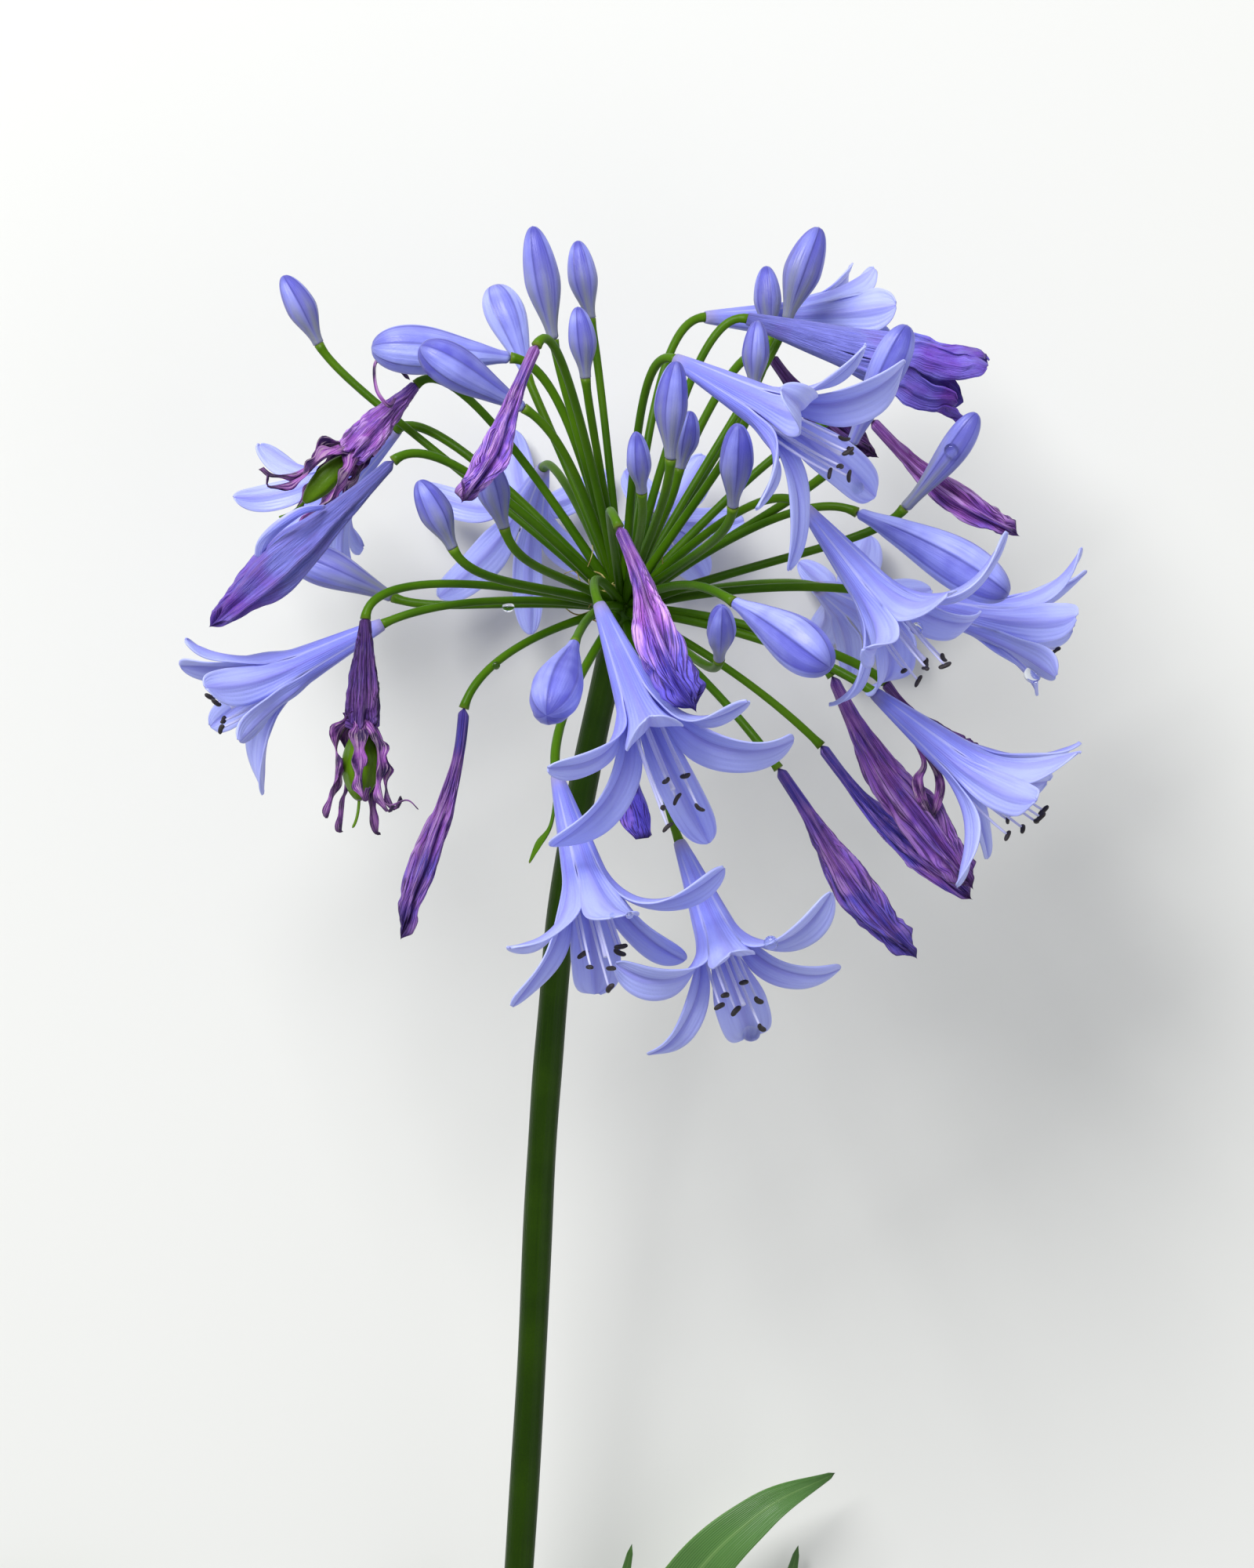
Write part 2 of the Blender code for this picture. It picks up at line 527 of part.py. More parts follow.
def ribbon_mesh(bloom, index, start, reach):
    """A dried lobe: a narrow blade that bows round the seed pod and curls at its end."""
    draw = random.Random(f"{bloom.name} ribbon {index}")
    heading = 2 * math.pi * (index + 0.5 * draw.random()) / TEPALS
    outwards = Vector((math.cos(heading), math.sin(heading), 0))
    sideways = Vector((-math.sin(heading), math.cos(heading), 0))
    bow = draw.uniform(*RIBBON_BOW) * MM
    curl = draw.uniform(*RIBBON_CURL) * MM
    long_share = draw.uniform(*RIBBON_REACH)
    shape = bmesh.new()
    grid = bmesh.ops.create_grid(shape, x_segments=1, y_segments=RIBBON_ROWS, size=1)
    for vertex in grid["verts"]:
        share = (vertex.co.y + 1) / 2
        radius = RIBBON_ROOT_RADIUS + (bow - RIBBON_ROOT_RADIUS) * smoothstep(share / 0.35)
        radius += curl * max(0.0, share - RIBBON_CURL_START) ** 2 / (1 - RIBBON_CURL_START) ** 2
        half = RIBBON_HALF_WIDTH - RIBBON_NARROWING * share
        height = start + (reach - start) * share * long_share
        vertex.co = outwards * radius + sideways * vertex.co.x * half + Vector((0, 0, height))
    blade = bpy.data.objects.new("ribbon", mesh_from(shape, "ribbon"))
    bpy.context.scene.collection.objects.link(blade)
    thicken(blade, RIBBON_THICKNESS)
    graph = bpy.context.evaluated_depsgraph_get()
    solid = bpy.data.meshes.new_from_object(blade.evaluated_get(graph))
    bpy.data.objects.remove(blade)
    return solid


def podded_flower(bloom, collection):
    """A dried flower split into ribbons round the green seed pod, and the pod itself."""
    length, girth = bloom.length * MM, bloom.shape * MM
    tube_end = DRIED_TUBE_SHARE * length

    def tube_outline(turn, share):
        swell = TUBE_FOOT_RADIUS + (girth - TUBE_FOOT_RADIUS) * smoothstep(share / 0.8)
        folded = 1 + DRIED_FOLD * math.cos(TEPALS * turn) * smoothstep(share * 2)
        closed = smoothstep(share / ROUND_END) * smoothstep((1 - share) / BLUNT_END)
        radius = swell * folded * closed
        return Vector((radius * math.cos(turn), radius * math.sin(turn), share * tube_end))

    def pod_outline(turn, share):
        swell = POD_RADIUS * math.sin(math.pi * (0.04 + 0.96 * share)) ** 0.6
        radius = swell * (1 + POD_RIDGE * math.cos(3 * turn))
        height = tube_end + CLEARANCE + share * POD_LENGTH_SHARE * length
        return Vector((radius * math.cos(turn), radius * math.sin(turn), height))

    made = add_mesh(bloom.name, spindle(bloom.name, *DRIED_MESH, tube_outline), "faded", collection)
    fuse(made, [ribbon_mesh(bloom, index, tube_end - RIBBON_ROOT, length) for index in range(TEPALS)])
    made.matrix_world = place_of(bloom)
    pod_mesh = spindle("pod", *POD_MESH, pod_outline)
    pod = add_mesh(bloom.name.replace("podded", "pod"), pod_mesh, "pod", collection)
    pod.matrix_world = place_of(bloom)


def stalk_line(bloom):
    """The middle line of a flower's stalk, from inside the dome to just short of the flower's foot."""
    axis = Vector(bloom.aim).normalized()
    seat = Vector(bloom.seat) * MM
    end = seat - axis * CLEARANCE
    before = seat - axis * STALK_BEND
    arch = Vector((0, 1, 0.3)) * STALK_ARCH
    early = before * STALK_STRAIGHT_SHARE + arch
    start = early.normalized() * STALK_ROOT_SHARE * DOME_RADIUS
    line = []
    for step in range(STALK_POINTS):
        t = 1 - (1 - step / (STALK_POINTS - 1)) ** STALK_STEP_POWER
        line.append(HEAD_CENTRE + start * (1 - t) ** 3 + early * 3 * t * (1 - t) ** 2
                    + before * 3 * t ** 2 * (1 - t) + end * t ** 3)
    return line


def flower_stalks(collection):
    """The dome and all the flower stalks, which grow from it as one body."""
    shape = bmesh.new()
    bmesh.ops.create_uvsphere(shape, u_segments=12, v_segments=8, radius=DOME_RADIUS,
                              matrix=Matrix.Translation(HEAD_CENTRE))
    stalks = add_mesh("flower_stalks", mesh_from(shape, "flower_stalks"), "stalk", collection)
    radii = [STALK_RADIUS] * (STALK_POINTS - 1) + [STALK_RADIUS * STALK_END_SHARE]
    fuse(stalks, [tube_mesh("stalk", stalk_line(bloom), radii, 0) for bloom in BLOOMS])


def stem_points():
    """The stem's middle line, from just under the dome down into the foot."""
    points = [HEAD_CENTRE + Vector(point) * MM for point in STEM_LINE]
    down = (points[1] - HEAD_CENTRE).normalized()
    points[0] = HEAD_CENTRE + down * (DOME_RADIUS + CLEARANCE)
    return smooth_line(points, STEM_POINTS)


def stem(collection):
    """The tall bare stem that carries the head."""
    line = stem_points()
    radii = [STEM_TOP_RADIUS + (STEM_FOOT_RADIUS - STEM_TOP_RADIUS) * number / (len(line) - 1)
             for number in range(len(line))]
    add_mesh("stem", tube_mesh("stem", line, radii, STEM_BEVEL_RESOLUTION), "stalk", collection)


def cutter(name, mesh, collection):
    """A helper that cuts another piece and isn't part of the plant."""
    made = bpy.data.objects.new(name, mesh)
    made.hide_render = True
    made.display_type = "WIRE"
    collection.objects.link(made)
    return made


def foot(collection, cutters):
    """The joined leaf bases, cut straight through, with a socket for the stem and a flat spot to lie on."""
    middle = Matrix.Translation((0, 0, FOOT_HEIGHT / 2 - FOOT_FLAT_DEPTH))
    oval = Matrix.Diagonal((1, 1, FOOT_HEIGHT / FOOT_WIDTH, 1))
    shape = bmesh.new()
    bmesh.ops.create_cone(shape, segments=FOOT_SIDES, cap_ends=True, radius1=FOOT_CUT_SHARE * FOOT_WIDTH / 2,
                          radius2=FOOT_WIDTH / 2, depth=FOOT_LENGTH,
                          matrix=middle @ oval @ Matrix.Rotation(-math.pi / 2, 4, "X"))
    made = add_mesh("leaf_base", mesh_from(shape, "leaf_base"), "foot", collection)
    ground = bmesh.new()
    bmesh.ops.create_cube(ground, size=1, matrix=Matrix.Translation((0, 0, -FOOT_HEIGHT / 2))
                          @ Matrix.Diagonal((2 * FOOT_WIDTH, 2 * FOOT_LENGTH, FOOT_HEIGHT, 1)))
    line = stem_points()
    way = (line[-1] - line[-2]).normalized()
    hole = tube_mesh("stem_hole", [line[-1] - way * SOCKET_LENGTH, line[-1] + way * CLEARANCE],
                     [STEM_FOOT_RADIUS + CLEARANCE] * 2, STEM_BEVEL_RESOLUTION)
    for name, mesh in (("ground_cutter", mesh_from(ground, "ground")), ("stem_cutter", hole)):
        cut = made.modifiers.new(name, "BOOLEAN")
        cut.operation = "DIFFERENCE"
        cut.object = cutter(name, mesh, cutters)


def leaf(name, collection):
    """A strap leaf: a channelled blade that narrows to a soft point."""
    points, half_widths = LEAVES[name]
    line = smooth_line([Vector(point) * MM for point in points], LEAF_ROWS + 1)
    widths = smooth_line([Vector((width * MM, 0, 0)) for width in half_widths], LEAF_ROWS + 1)
    shape = bmesh.new()
    grid = bmesh.ops.create_grid(shape, x_segments=2, y_segments=LEAF_ROWS, size=1)
    for vertex in grid["verts"]:
        row = round((vertex.co.y + 1) / 2 * LEAF_ROWS)
        ahead = line[min(row + 1, LEAF_ROWS)] - line[max(row - 1, 0)]
        sideways = ahead.cross(Vector((0, 0, 1))).normalized()
        across = round(vertex.co.x)
        half = max(widths[row].x, LEAF_TIP_HALF_WIDTH)
        lift = LEAF_CHANNEL * half * abs(across)
        vertex.co = line[row] + sideways * across * half + Vector((0, 0, lift))
    thicken(add_mesh(name, mesh_from(shape, name), "leaf", collection), LEAF_THICKNESS)


def main():
    """Builds the whole plant."""
    clear_scene()
    plant = collection_named("agapanthus_plant")
    cutters = collection_named("cutters")
    makers = {"open": open_flower, "bud": bud, "small_bud": bud, "closing": faded_flower,
              "wilting": faded_flower, "faded": faded_flower, "podded": podded_flower}
    for bloom in BLOOMS:
        makers[bloom.kind](bloom, plant)
    flower_stalks(plant)
    stem(plant)
    foot(plant, cutters)
    for name in LEAVES:
        leaf(name, plant)
    for piece in plant.objects:
        piece.data.shade_smooth()
        piece.data.set_sharp_from_angle(angle=SHARP_ANGLE)


main()
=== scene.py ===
"""Dresses the cut agapanthus plant in fine flowers, buds, stalks, stem and leaves."""

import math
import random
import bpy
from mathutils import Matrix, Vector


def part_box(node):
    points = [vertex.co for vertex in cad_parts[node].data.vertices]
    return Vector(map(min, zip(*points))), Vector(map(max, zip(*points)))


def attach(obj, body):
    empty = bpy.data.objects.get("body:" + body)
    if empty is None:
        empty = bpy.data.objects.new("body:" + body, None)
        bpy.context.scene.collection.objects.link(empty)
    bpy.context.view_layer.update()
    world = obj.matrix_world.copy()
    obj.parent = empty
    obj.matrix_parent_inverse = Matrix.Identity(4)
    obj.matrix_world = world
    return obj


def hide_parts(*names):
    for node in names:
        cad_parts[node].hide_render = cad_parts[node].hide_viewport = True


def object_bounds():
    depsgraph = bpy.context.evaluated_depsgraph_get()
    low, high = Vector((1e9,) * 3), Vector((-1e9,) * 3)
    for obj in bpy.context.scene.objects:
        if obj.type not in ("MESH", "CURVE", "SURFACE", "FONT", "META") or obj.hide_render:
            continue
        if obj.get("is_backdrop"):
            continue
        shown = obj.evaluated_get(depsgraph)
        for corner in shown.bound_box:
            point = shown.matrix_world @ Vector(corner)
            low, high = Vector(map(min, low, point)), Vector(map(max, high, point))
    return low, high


bl_info = {
    "name": "Agapanthus plant",
    "version": (1, 0, 0),
    "blender": (4, 5, 0),
    "location": "3D View > Sidebar > Agapanthus",
    "description": "Adds the flowers, buds, stalks, stem and leaves of a cut agapanthus",
    "category": "Add Mesh",
}

from collections import namedtuple

import bmesh
import bpy
from bpy.props import FloatProperty, FloatVectorProperty, PointerProperty
from bpy.types import Operator, Panel, PropertyGroup
from mathutils import Matrix, Vector, noise

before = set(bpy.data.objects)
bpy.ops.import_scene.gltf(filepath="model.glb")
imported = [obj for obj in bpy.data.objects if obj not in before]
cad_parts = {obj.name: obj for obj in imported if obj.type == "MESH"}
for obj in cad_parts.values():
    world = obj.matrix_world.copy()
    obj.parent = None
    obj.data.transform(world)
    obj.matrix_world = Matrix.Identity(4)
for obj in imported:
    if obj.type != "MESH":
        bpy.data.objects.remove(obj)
CAD_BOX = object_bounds()

MM = 0.001
BODY = "root"
UP = Vector((0, 0, 1))

# The frame's own sizes and places
CLEARANCE = 0.3 * MM
HEAD_CENTRE = Vector((35, 358, 85)) * MM
DOME_RADIUS = 5.0 * MM
STEM_FOOT_RADIUS = 3.5 * MM
STEM_TOP_RADIUS = 3.2 * MM
# The stem's middle line, in mm from the head's centre, from the dome down to the foot
STEM_LINE = [(-1, -5, -1), (-7, -30, -6), (-13, -62, -13), (-16, -92, -19), (-18.5, -125, -26),
             (-21, -175, -36), (-25, -235, -49), (-30, -300, -62.5), (-34.5, -356, -74)]
STALK_BEND = 9 * MM
STALK_ARCH = 3 * MM
STALK_STRAIGHT_SHARE = 0.62
STALK_LAP = 0.5 * MM
GROWS_UP = Vector((0, 0.95, 0.3))

# The open flower
TEPALS = 6
FOOT_LEVEL = 0.325 * MM
TUBE_SHARE = 0.40
TUBE_FOOT_RADIUS = 1.25 * MM
TUBE_ANGLE = math.radians(8)
FLARE_START = 0.38
FLARE_END = 0.88
CURL_START = 0.78
CURL_REACH = 0.22
INNER_HALF_WIDTH = 4.7 * MM
OUTER_HALF_WIDTH = 3.5 * MM
WIDEST_SHARE = 0.58
TIP_LEAST = 0.016
TIP_POWER = 2.8
LOBE_CURL_RADIUS = 9 * MM
INNER_HALF_SECTOR = math.radians(34)
OUTER_HALF_SECTOR = math.radians(33)
OUTER_LAP = 0.5 * MM
LOBE_WAVES = 1.3
TUBE_RIDGE = 0.035
MIDRIB_WIDTH = 0.14
PROFILE_STEPS = 60
TEPAL_COLUMNS = 16
TEPAL_ROWS = 60
TIP_CROWDING = 1.3
OPEN_FINISHES = ["petal_outside", "petal_inside", "filament", "anther"]
STAMEN_ROOT = Vector((2.7, 16)) * MM
STAMEN_SPREAD = (3.2, 5.0)
STAMEN_REACH = (0.74, 0.90)
STAMEN_DROOP = 1.8 * MM
STAMEN_SAG = 1.8
STAMEN_ROWS = 14
STAMEN_SIDES = 8
ANTHER_BEND = 0.5 * MM
ANTHER_STEPS = 9
ANTHER_FLATNESS = 0.75
STYLE_REACH = 0.80
STYLE_ROWS = 16

# The flower whose lobes still stand apart: its flare in degrees, how much more its edges wave, and the start
# of its random crumpling
WILTING_FLARE = 3
WILTING_WAVE = 2.2
WILTING_SEED = 5

# A bud's columns and rows, how far three tepals lap over the others, the share of its length at which it is
# widest, and how blunt its point is
BUD_HABITS = {
    "bud": (96, 48, 0.035, 0.68, 2.3),
    "small_bud": (72, 36, 0.05, 0.52, 1.75),
}
BUD_KEEL = 0.035

# A closed or faded flower's folds, its bow to the low side, the width of its end, how worn and how slim it
# is, its slot and its finish
FADED_HABITS = {
    "closing": (0.10, 0.5 * MM, 0.50, 0.45, 1, "petal", "closing_skin"),
    "faded": (0.20, 2.2 * MM, 0.60, 1.0, 0.88, "faded", "faded_skin"),
}
FADED_COLUMNS = 144
FADED_ROWS = 96
WRINKLE_COUNTS = (8, 15, 27)
WRINKLE_WEIGHTS = (0.8, 0.8, 0.5)

# The seed pods and the ribbons of dried lobes round them
POD_RADIUS = {"podded_left": 2.5 * MM, "podded_low_left": 3.9 * MM}
RIBBON_ROWS = 40
RIBBON_COLUMNS = 12
RIBBON_ROOT = 2.1 * MM
RIBBON_THICKNESS = 0.35 * MM

# The stalks, the stem, the leaves, the threads, the drops and the loose bits: how finely each is divided,
# and their forms
STALK_ROWS = 26
STALK_SIDES = 12
STEM_ROWS = 90
STEM_SIDES = 32
LEAF_ROWS = 71
LEAF_COLUMNS = 32
LEAF_CHANNEL = 0.22
THREADS = 16
THREAD_ROWS = 20
THREAD_SIDES = 5
DROP_FORM = (1, 0.9, 0.75)
BIT_ROWS = 40
BIT_COLUMNS = 16
BIT_THICKNESS = 0.5 * MM

# Every flower, bud and faded flower, by kind. Seats are in mm from the head's centre, as (right, along the
# plant, up), and aim is the way the flower points. The length is in mm. For an open flower the shape value is
# the angle in degrees to which its lobes flare, and for any other the radius of its thickest place in mm.
# Turn, where it is given, is in degrees about the flower's own axis.
Bloom = namedtuple("Bloom", "kind name seat aim length shape turn", defaults=[0])
BLOOM_ROWS = {
    "open": [
        ("open_front", (-5, -1, 53), (0.32, -0.79, 0.50), 60, 72, 30),
        ("open_low_left", (-14, -37, 45), (0.25, -0.88, 0.40), 53, 62, 188),
        ("open_low_right", (12, -51, 36), (0.33, -0.82, 0.46), 51, 64, 180),
        ("open_right", (54, -19, 22), (0.77, -0.62, 0.08), 50, 55, 30),
        ("open_top_right", (11, 51, 45), (0.76, -0.45, 0.45), 56, 62, 30),
        ("open_mid_right", (39, 20, 34), (0.60, -0.76, 0.20), 52, 58),
        ("open_far_right", (58, 3, -6), (0.97, -0.24, 0.02), 47, 44, 30),
        ("open_top_back", (18, 65, -15), (0.97, -0.01, -0.25), 44, 34, 30),
        ("open_left", (-52, -4, 15), (-0.88, -0.46, 0.10), 47, 44, 30),
        ("open_left_back", (-50, 40, -12), (-0.58, -0.48, -0.65), 46, 50),
        ("open_back", (-18, 33, -37.68), (-0.16, -0.36, -0.92), 52, 72),
        ("open_under_right", (44, 6, -40.32), (0.30, -0.12, -0.95), 45, 40),
        ("open_back_centre", (6, 22, -38), (0.15, -0.05, -0.98), 40, 50, 20),
    ],
    "wilting": [
        ("closing_right", (27, 63, 5), (0.96, -0.28, 0.02), 52, 4.6),
    ],
    "closing": [
        ("closing_left", (-49, 31, 25), (-0.73, -0.67, 0.12), 54, 5.8),
    ],
    "bud": [
        ("bud_flat_left", (-24, 54, 10), (-0.98, 0.06, 0.15), 31, 5.2),
        ("bud_mid_left", (-21, 42, 22), (-0.83, 0.48, 0.28), 27, 4.6),
        ("bud_high_left", (-21, 51, -8), (-0.34, 0.90, -0.25), 23, 4.4),
        ("bud_front_left", (-10, -9, 58), (-0.20, -0.56, 0.80), 28, 5.3),
        ("bud_front_right", (23, 0, 45), (0.70, -0.50, 0.52), 29, 5.4),
        ("bud_big_right", (50, 20, 22), (0.86, -0.48, 0.18), 38, 5.5),
        ("bud_low_left", (-50, 2, 2), (-0.90, 0.38, -0.20), 26, 4.4),
        ("bud_leaning_right", (61, 21, 8), (0.58, 0.76, 0.28), 27, 3.1),
        ("bud_behind_right", (49, 34, 22), (0.41, 0.88, 0.22), 29, 3.9),
    ],
    "small_bud": [
        ("small_bud_far_left", (-67, 58, -8), (-0.46, 0.88, 0.10), 17.5, 3.3),
        ("small_bud_tall", (-15, 57, 15), (-0.18, 0.97, 0.10), 25.5, 3.8),
        ("small_bud_top", (-7, 63, -2), (-0.17, 0.98, 0.00), 18, 3.2),
        ("small_bud_top_front", (-8, 48, 25), (-0.11, 0.97, 0.20), 16, 3.0),
        ("small_bud_top_right", (36, 63, -4), (0.32, 0.94, 0.05), 22, 4.1),
        ("small_bud_beside", (32.5, 60, -11), (-0.05, 0.98, 0.05), 16, 3.1),
        ("small_bud_pale", (28, 45, 30), (0.05, 0.97, 0.15), 15.5, 3.0),
        ("small_bud_upright", (10, 29, 52), (0.05, 0.90, 0.35), 22, 3.5),
        ("small_bud_hidden", (12, 28, 38), (0.18, 0.95, 0.25), 13, 2.6),
        ("small_bud_mid_right", (23, 19, 55), (0.04, 0.75, 0.65), 22, 3.6),
        ("small_bud_centre", (4, 22, 58), (-0.08, 0.75, 0.65), 16, 2.6),
        ("small_bud_left", (-36, 11, 38), (-0.42, 0.85, 0.30), 17, 3.4),
        ("small_bud_front", (20, -13, 62), (0.02, 0.60, 0.80), 18, 3.1),
        ("small_bud_mid_left", (-25, 15, 42), (-0.25, 0.93, 0.25), 17, 3.4),
    ],
    "faded": [
        ("faded_top_left", (-18, 54, 48), (-0.39, -0.85, 0.33), 40, 4.0),
        ("faded_low_left", (-34, -22, 28), (-0.26, -0.96, 0.08), 52, 3.6),
        ("faded_low_right", (33, -35, 30), (0.58, -0.80, 0.12), 51, 4.6),
        ("faded_right", (45, -15, 18), (0.55, -0.83, -0.02), 56, 5.4),
        ("faded_right_back", (43, -30, 4), (0.70, -0.71, -0.05), 48, 3.4),
        ("faded_front", (-1, 15, 65), (0.36, -0.87, 0.34), 45, 5.0),
        ("faded_top_right", (33, 57, -22), (0.72, -0.66, -0.20), 34, 3.9),
        ("faded_far_right", (54, 41, 5), (0.78, -0.60, -0.10), 42, 4.2),
        ("faded_behind_right", (57, -16, 2), (0.76, -0.62, -0.15), 30, 3.2),
    ],
    "podded": [
        ("podded_left", (-45, 49, 3), (-0.68, -0.72, 0.06), 44, 4.2),
        ("podded_low_left", (-55, -3, 32), (-0.03, -0.99, 0.10), 48, 3.8),
    ],
}
BLOOMS = [Bloom(kind, *row) for kind, rows in BLOOM_ROWS.items() for row in rows]

Lobe = namedtuple("Lobe", "flare bend reach width curl twist")

# The lobes of the flowers that show most: the degrees by which the six are turned about the flower's axis,
# and then a row for each, from the one on the upper side round to the left as seen from the stalk. A row says
# how many degrees more than its flower the lobe flares, its bend to one side in mm, its length and width as
# shares, and the degrees by which its tip curls back and its blade twists.
LOBES = {
    "open_front": (0, [
        (-4, -2, 0.95, 1.50, 5, 0), (4, -3, 0.88, 1.20, 15, -10), (9, -5, 1.00, 1.20, 8, 8),
        (-3, 1, 1.00, 1.25, 0, 0), (10, 0, 1.00, 1.15, 30, 10), (-6, 4, 0.95, 0.95, 5, 0),
    ]),
    "open_low_left": (0, [
        (3, 1, 0.92, 1.25, 5, 0), (0, -2, 0.95, 1.15, 15, 0), (33, 0, 1.08, 0.95, 15, 0),
        (-6, -1, 0.95, 1.45, 5, 0), (3, 1, 1.00, 0.95, 20, 8), (-6, 0, 1.00, 1.15, 0, 0),
    ]),
    "open_low_right": (22, [
        (8, 1, 0.95, 1.30, 20, 0), (12, 2, 1.00, 1.10, 30, 10), (38, 0, 1.05, 1.05, 20, 0),
        (0, 1, 0.95, 1.50, 10, 0), (38, 0, 1.05, 1.05, 35, -8), (2, 0, 1.05, 1.10, 35, 0),
    ]),
    "open_right": (-10, [
        (5, 0, 1.05, 1.10, 5, 0), (-10, -8, 0.95, 1.30, 20, 0), (5, 2, 0.95, 1.10, 10, 0),
        (-5, 2, 0.90, 1.00, 5, 0), (0, 4, 0.95, 1.00, 20, 0), (-5, 0, 0.95, 0.80, 20, 0),
    ]),
    "open_top_right": (22, [
        (10, 1, 1.05, 1.10, 45, -25), (5, 0, 0.95, 0.85, 10, 0), (8, -2, 1.05, 0.80, 15, 0),
        (3, 0, 1.00, 1.40, 10, 0), (8, 4, 0.95, 1.20, 25, 0), (0, 0, 0.85, 0.80, 10, 0),
    ]),
    "open_mid_right": (-28, [
        (42, 0, 1.12, 0.90, 15, 0), (13, -3, 0.88, 1.50, 5, 0), (10, -5, 0.85, 1.25, 35, 0),
        (8, 0, 0.90, 0.85, 45, 0), (20, -3, 0.95, 1.25, 35, 0), (5, 1, 0.95, 1.30, 40, 0),
    ]),
    "open_far_right": (-20, [
        (15, 0, 1.05, 0.80, 25, 0), (-5, -4, 0.95, 1.35, 20, 0), (-8, -6, 0.85, 1.20, 10, 0),
        (-5, 2, 0.85, 0.80, 25, 0), (-2, 4, 1.00, 1.00, 10, 0), (0, 1, 1.00, 1.00, 5, 0),
    ]),
    "open_top_back": (-25, [
        (-3, 0, 0.85, 1.30, 10, 0), (-3, -1, 0.95, 1.65, 0, 0), (-20, -4, 0.90, 1.10, 0, 0),
        (-10, 0, 0.90, 1.00, 10, 0), (-5, 0, 0.90, 1.00, 10, 0), (12, 0, 0.95, 1.20, 20, 0),
    ]),
    "open_left": (25, [
        (-8, 0, 0.95, 1.15, 0, 0), (-5, 1, 1.00, 1.10, 10, 0), (18, 1, 1.05, 1.35, 6, 0),
        (-10, 6, 0.85, 1.20, 10, 0), (-8, 4, 0.90, 1.00, 10, 0), (0, 0, 0.95, 0.80, 20, 0),
    ]),
    "closing_right": (0, [
        (2, 1, 1.02, 1.00, 4, 10), (0, -2, 1.05, 1.05, 6, -14), (-4, 2, 0.92, 0.95, -20, 22),
        (0, 0, 0.98, 1.00, 10, 18), (-3, -2, 0.95, 0.95, -15, -22), (2, 1, 1.06, 1.05, 0, 10),
    ]),
}

# How far a bud or faded flower has gone from blue to its second colour (green or pink) at its foot, middle
# and end, and how dark it is
TONES = {
    "closing_left": (0.0, 0.04, 0.78, 0.34),
    "closing_right": (0.0, 0.0, 0.72, 0.16),
    "faded_top_left": (0.80, 0.45, 0.60, 0.00),
    "faded_low_left": (0.00, 0.70, 0.30, 0.36),
    "faded_low_right": (0.00, 0.50, 0.05, 0.42),
    "faded_right": (0.60, 0.65, 0.60, 0.40),
    "faded_right_back": (0.00, 0.05, 0.60, 0.05),
    "faded_front": (0.60, 0.70, -0.45, 0.0),
    "faded_top_right": (0.90, 0.60, 0.70, 0.80),
    "faded_far_right": (0.90, 0.95, 0.70, 0.15),
    "faded_behind_right": (0.60, 0.70, 0.80, 0.70),
    "podded_left": (0.50, 0.80, 0.60, 0.15),
    "podded_low_left": (0.45, 0.60, 0.60, 0.80),
    "bud_flat_left": (0.10, 0.00, 0.0, -0.2),
    "bud_mid_left": (0.30, 0.15, 0.0, 0.3),
    "bud_high_left": (0.10, 0.05, 0.0, -0.3),
    "bud_front_left": (0.10, 0.00, 0.0, 0.3),
    "bud_front_right": (0.05, 0.00, 0.0, 0.0),
    "bud_big_right": (0.05, 0.00, 0.0, 0.0),
    "bud_low_left": (0.80, 0.60, 0.2, 0.3),
    "bud_leaning_right": (0.90, 0.80, 0.4, 0.4),
    "bud_behind_right": (0.40, 0.30, 0.1, 0.4),
}
KIND_TONES = {"open": (0.0, 0.0, 0.0, 0.0), "small_bud": (1.0, 0.75, 0.1, 0.35)}

# The drops of water: the piece that carries each, a point close to it in mm from the head's centre, and its
# radius in mm
DROPS = [
    ("flower_open_low_right", (27.2, -91.8, 35), 2.3),
    ("flower_open_low_right", (28.5, -68.0, 62), 1.7),
    ("flower_open_far_right", (89.5, -16.5, -4), 2.2),
    ("flower_bud_leaning_right", (70.5, 33.5, 18), 1.7),
    ("flower_open_top_right", (49.6, 23.9, 48), 1.5),
    ("flower_open_low_left", (3.0, -66.0, 84), 0.9),
    ("flower_open_low_left", (-3.0, -64.0, 82), 0.7),
    ("stalks", (-25.0, -4.0, 8), 1.5),
    ("stalks", (-23.5, -13.0, 30), 1.0),
    ("flower_open_mid_right", (62.0, -5.5, 40), 1.5),
]

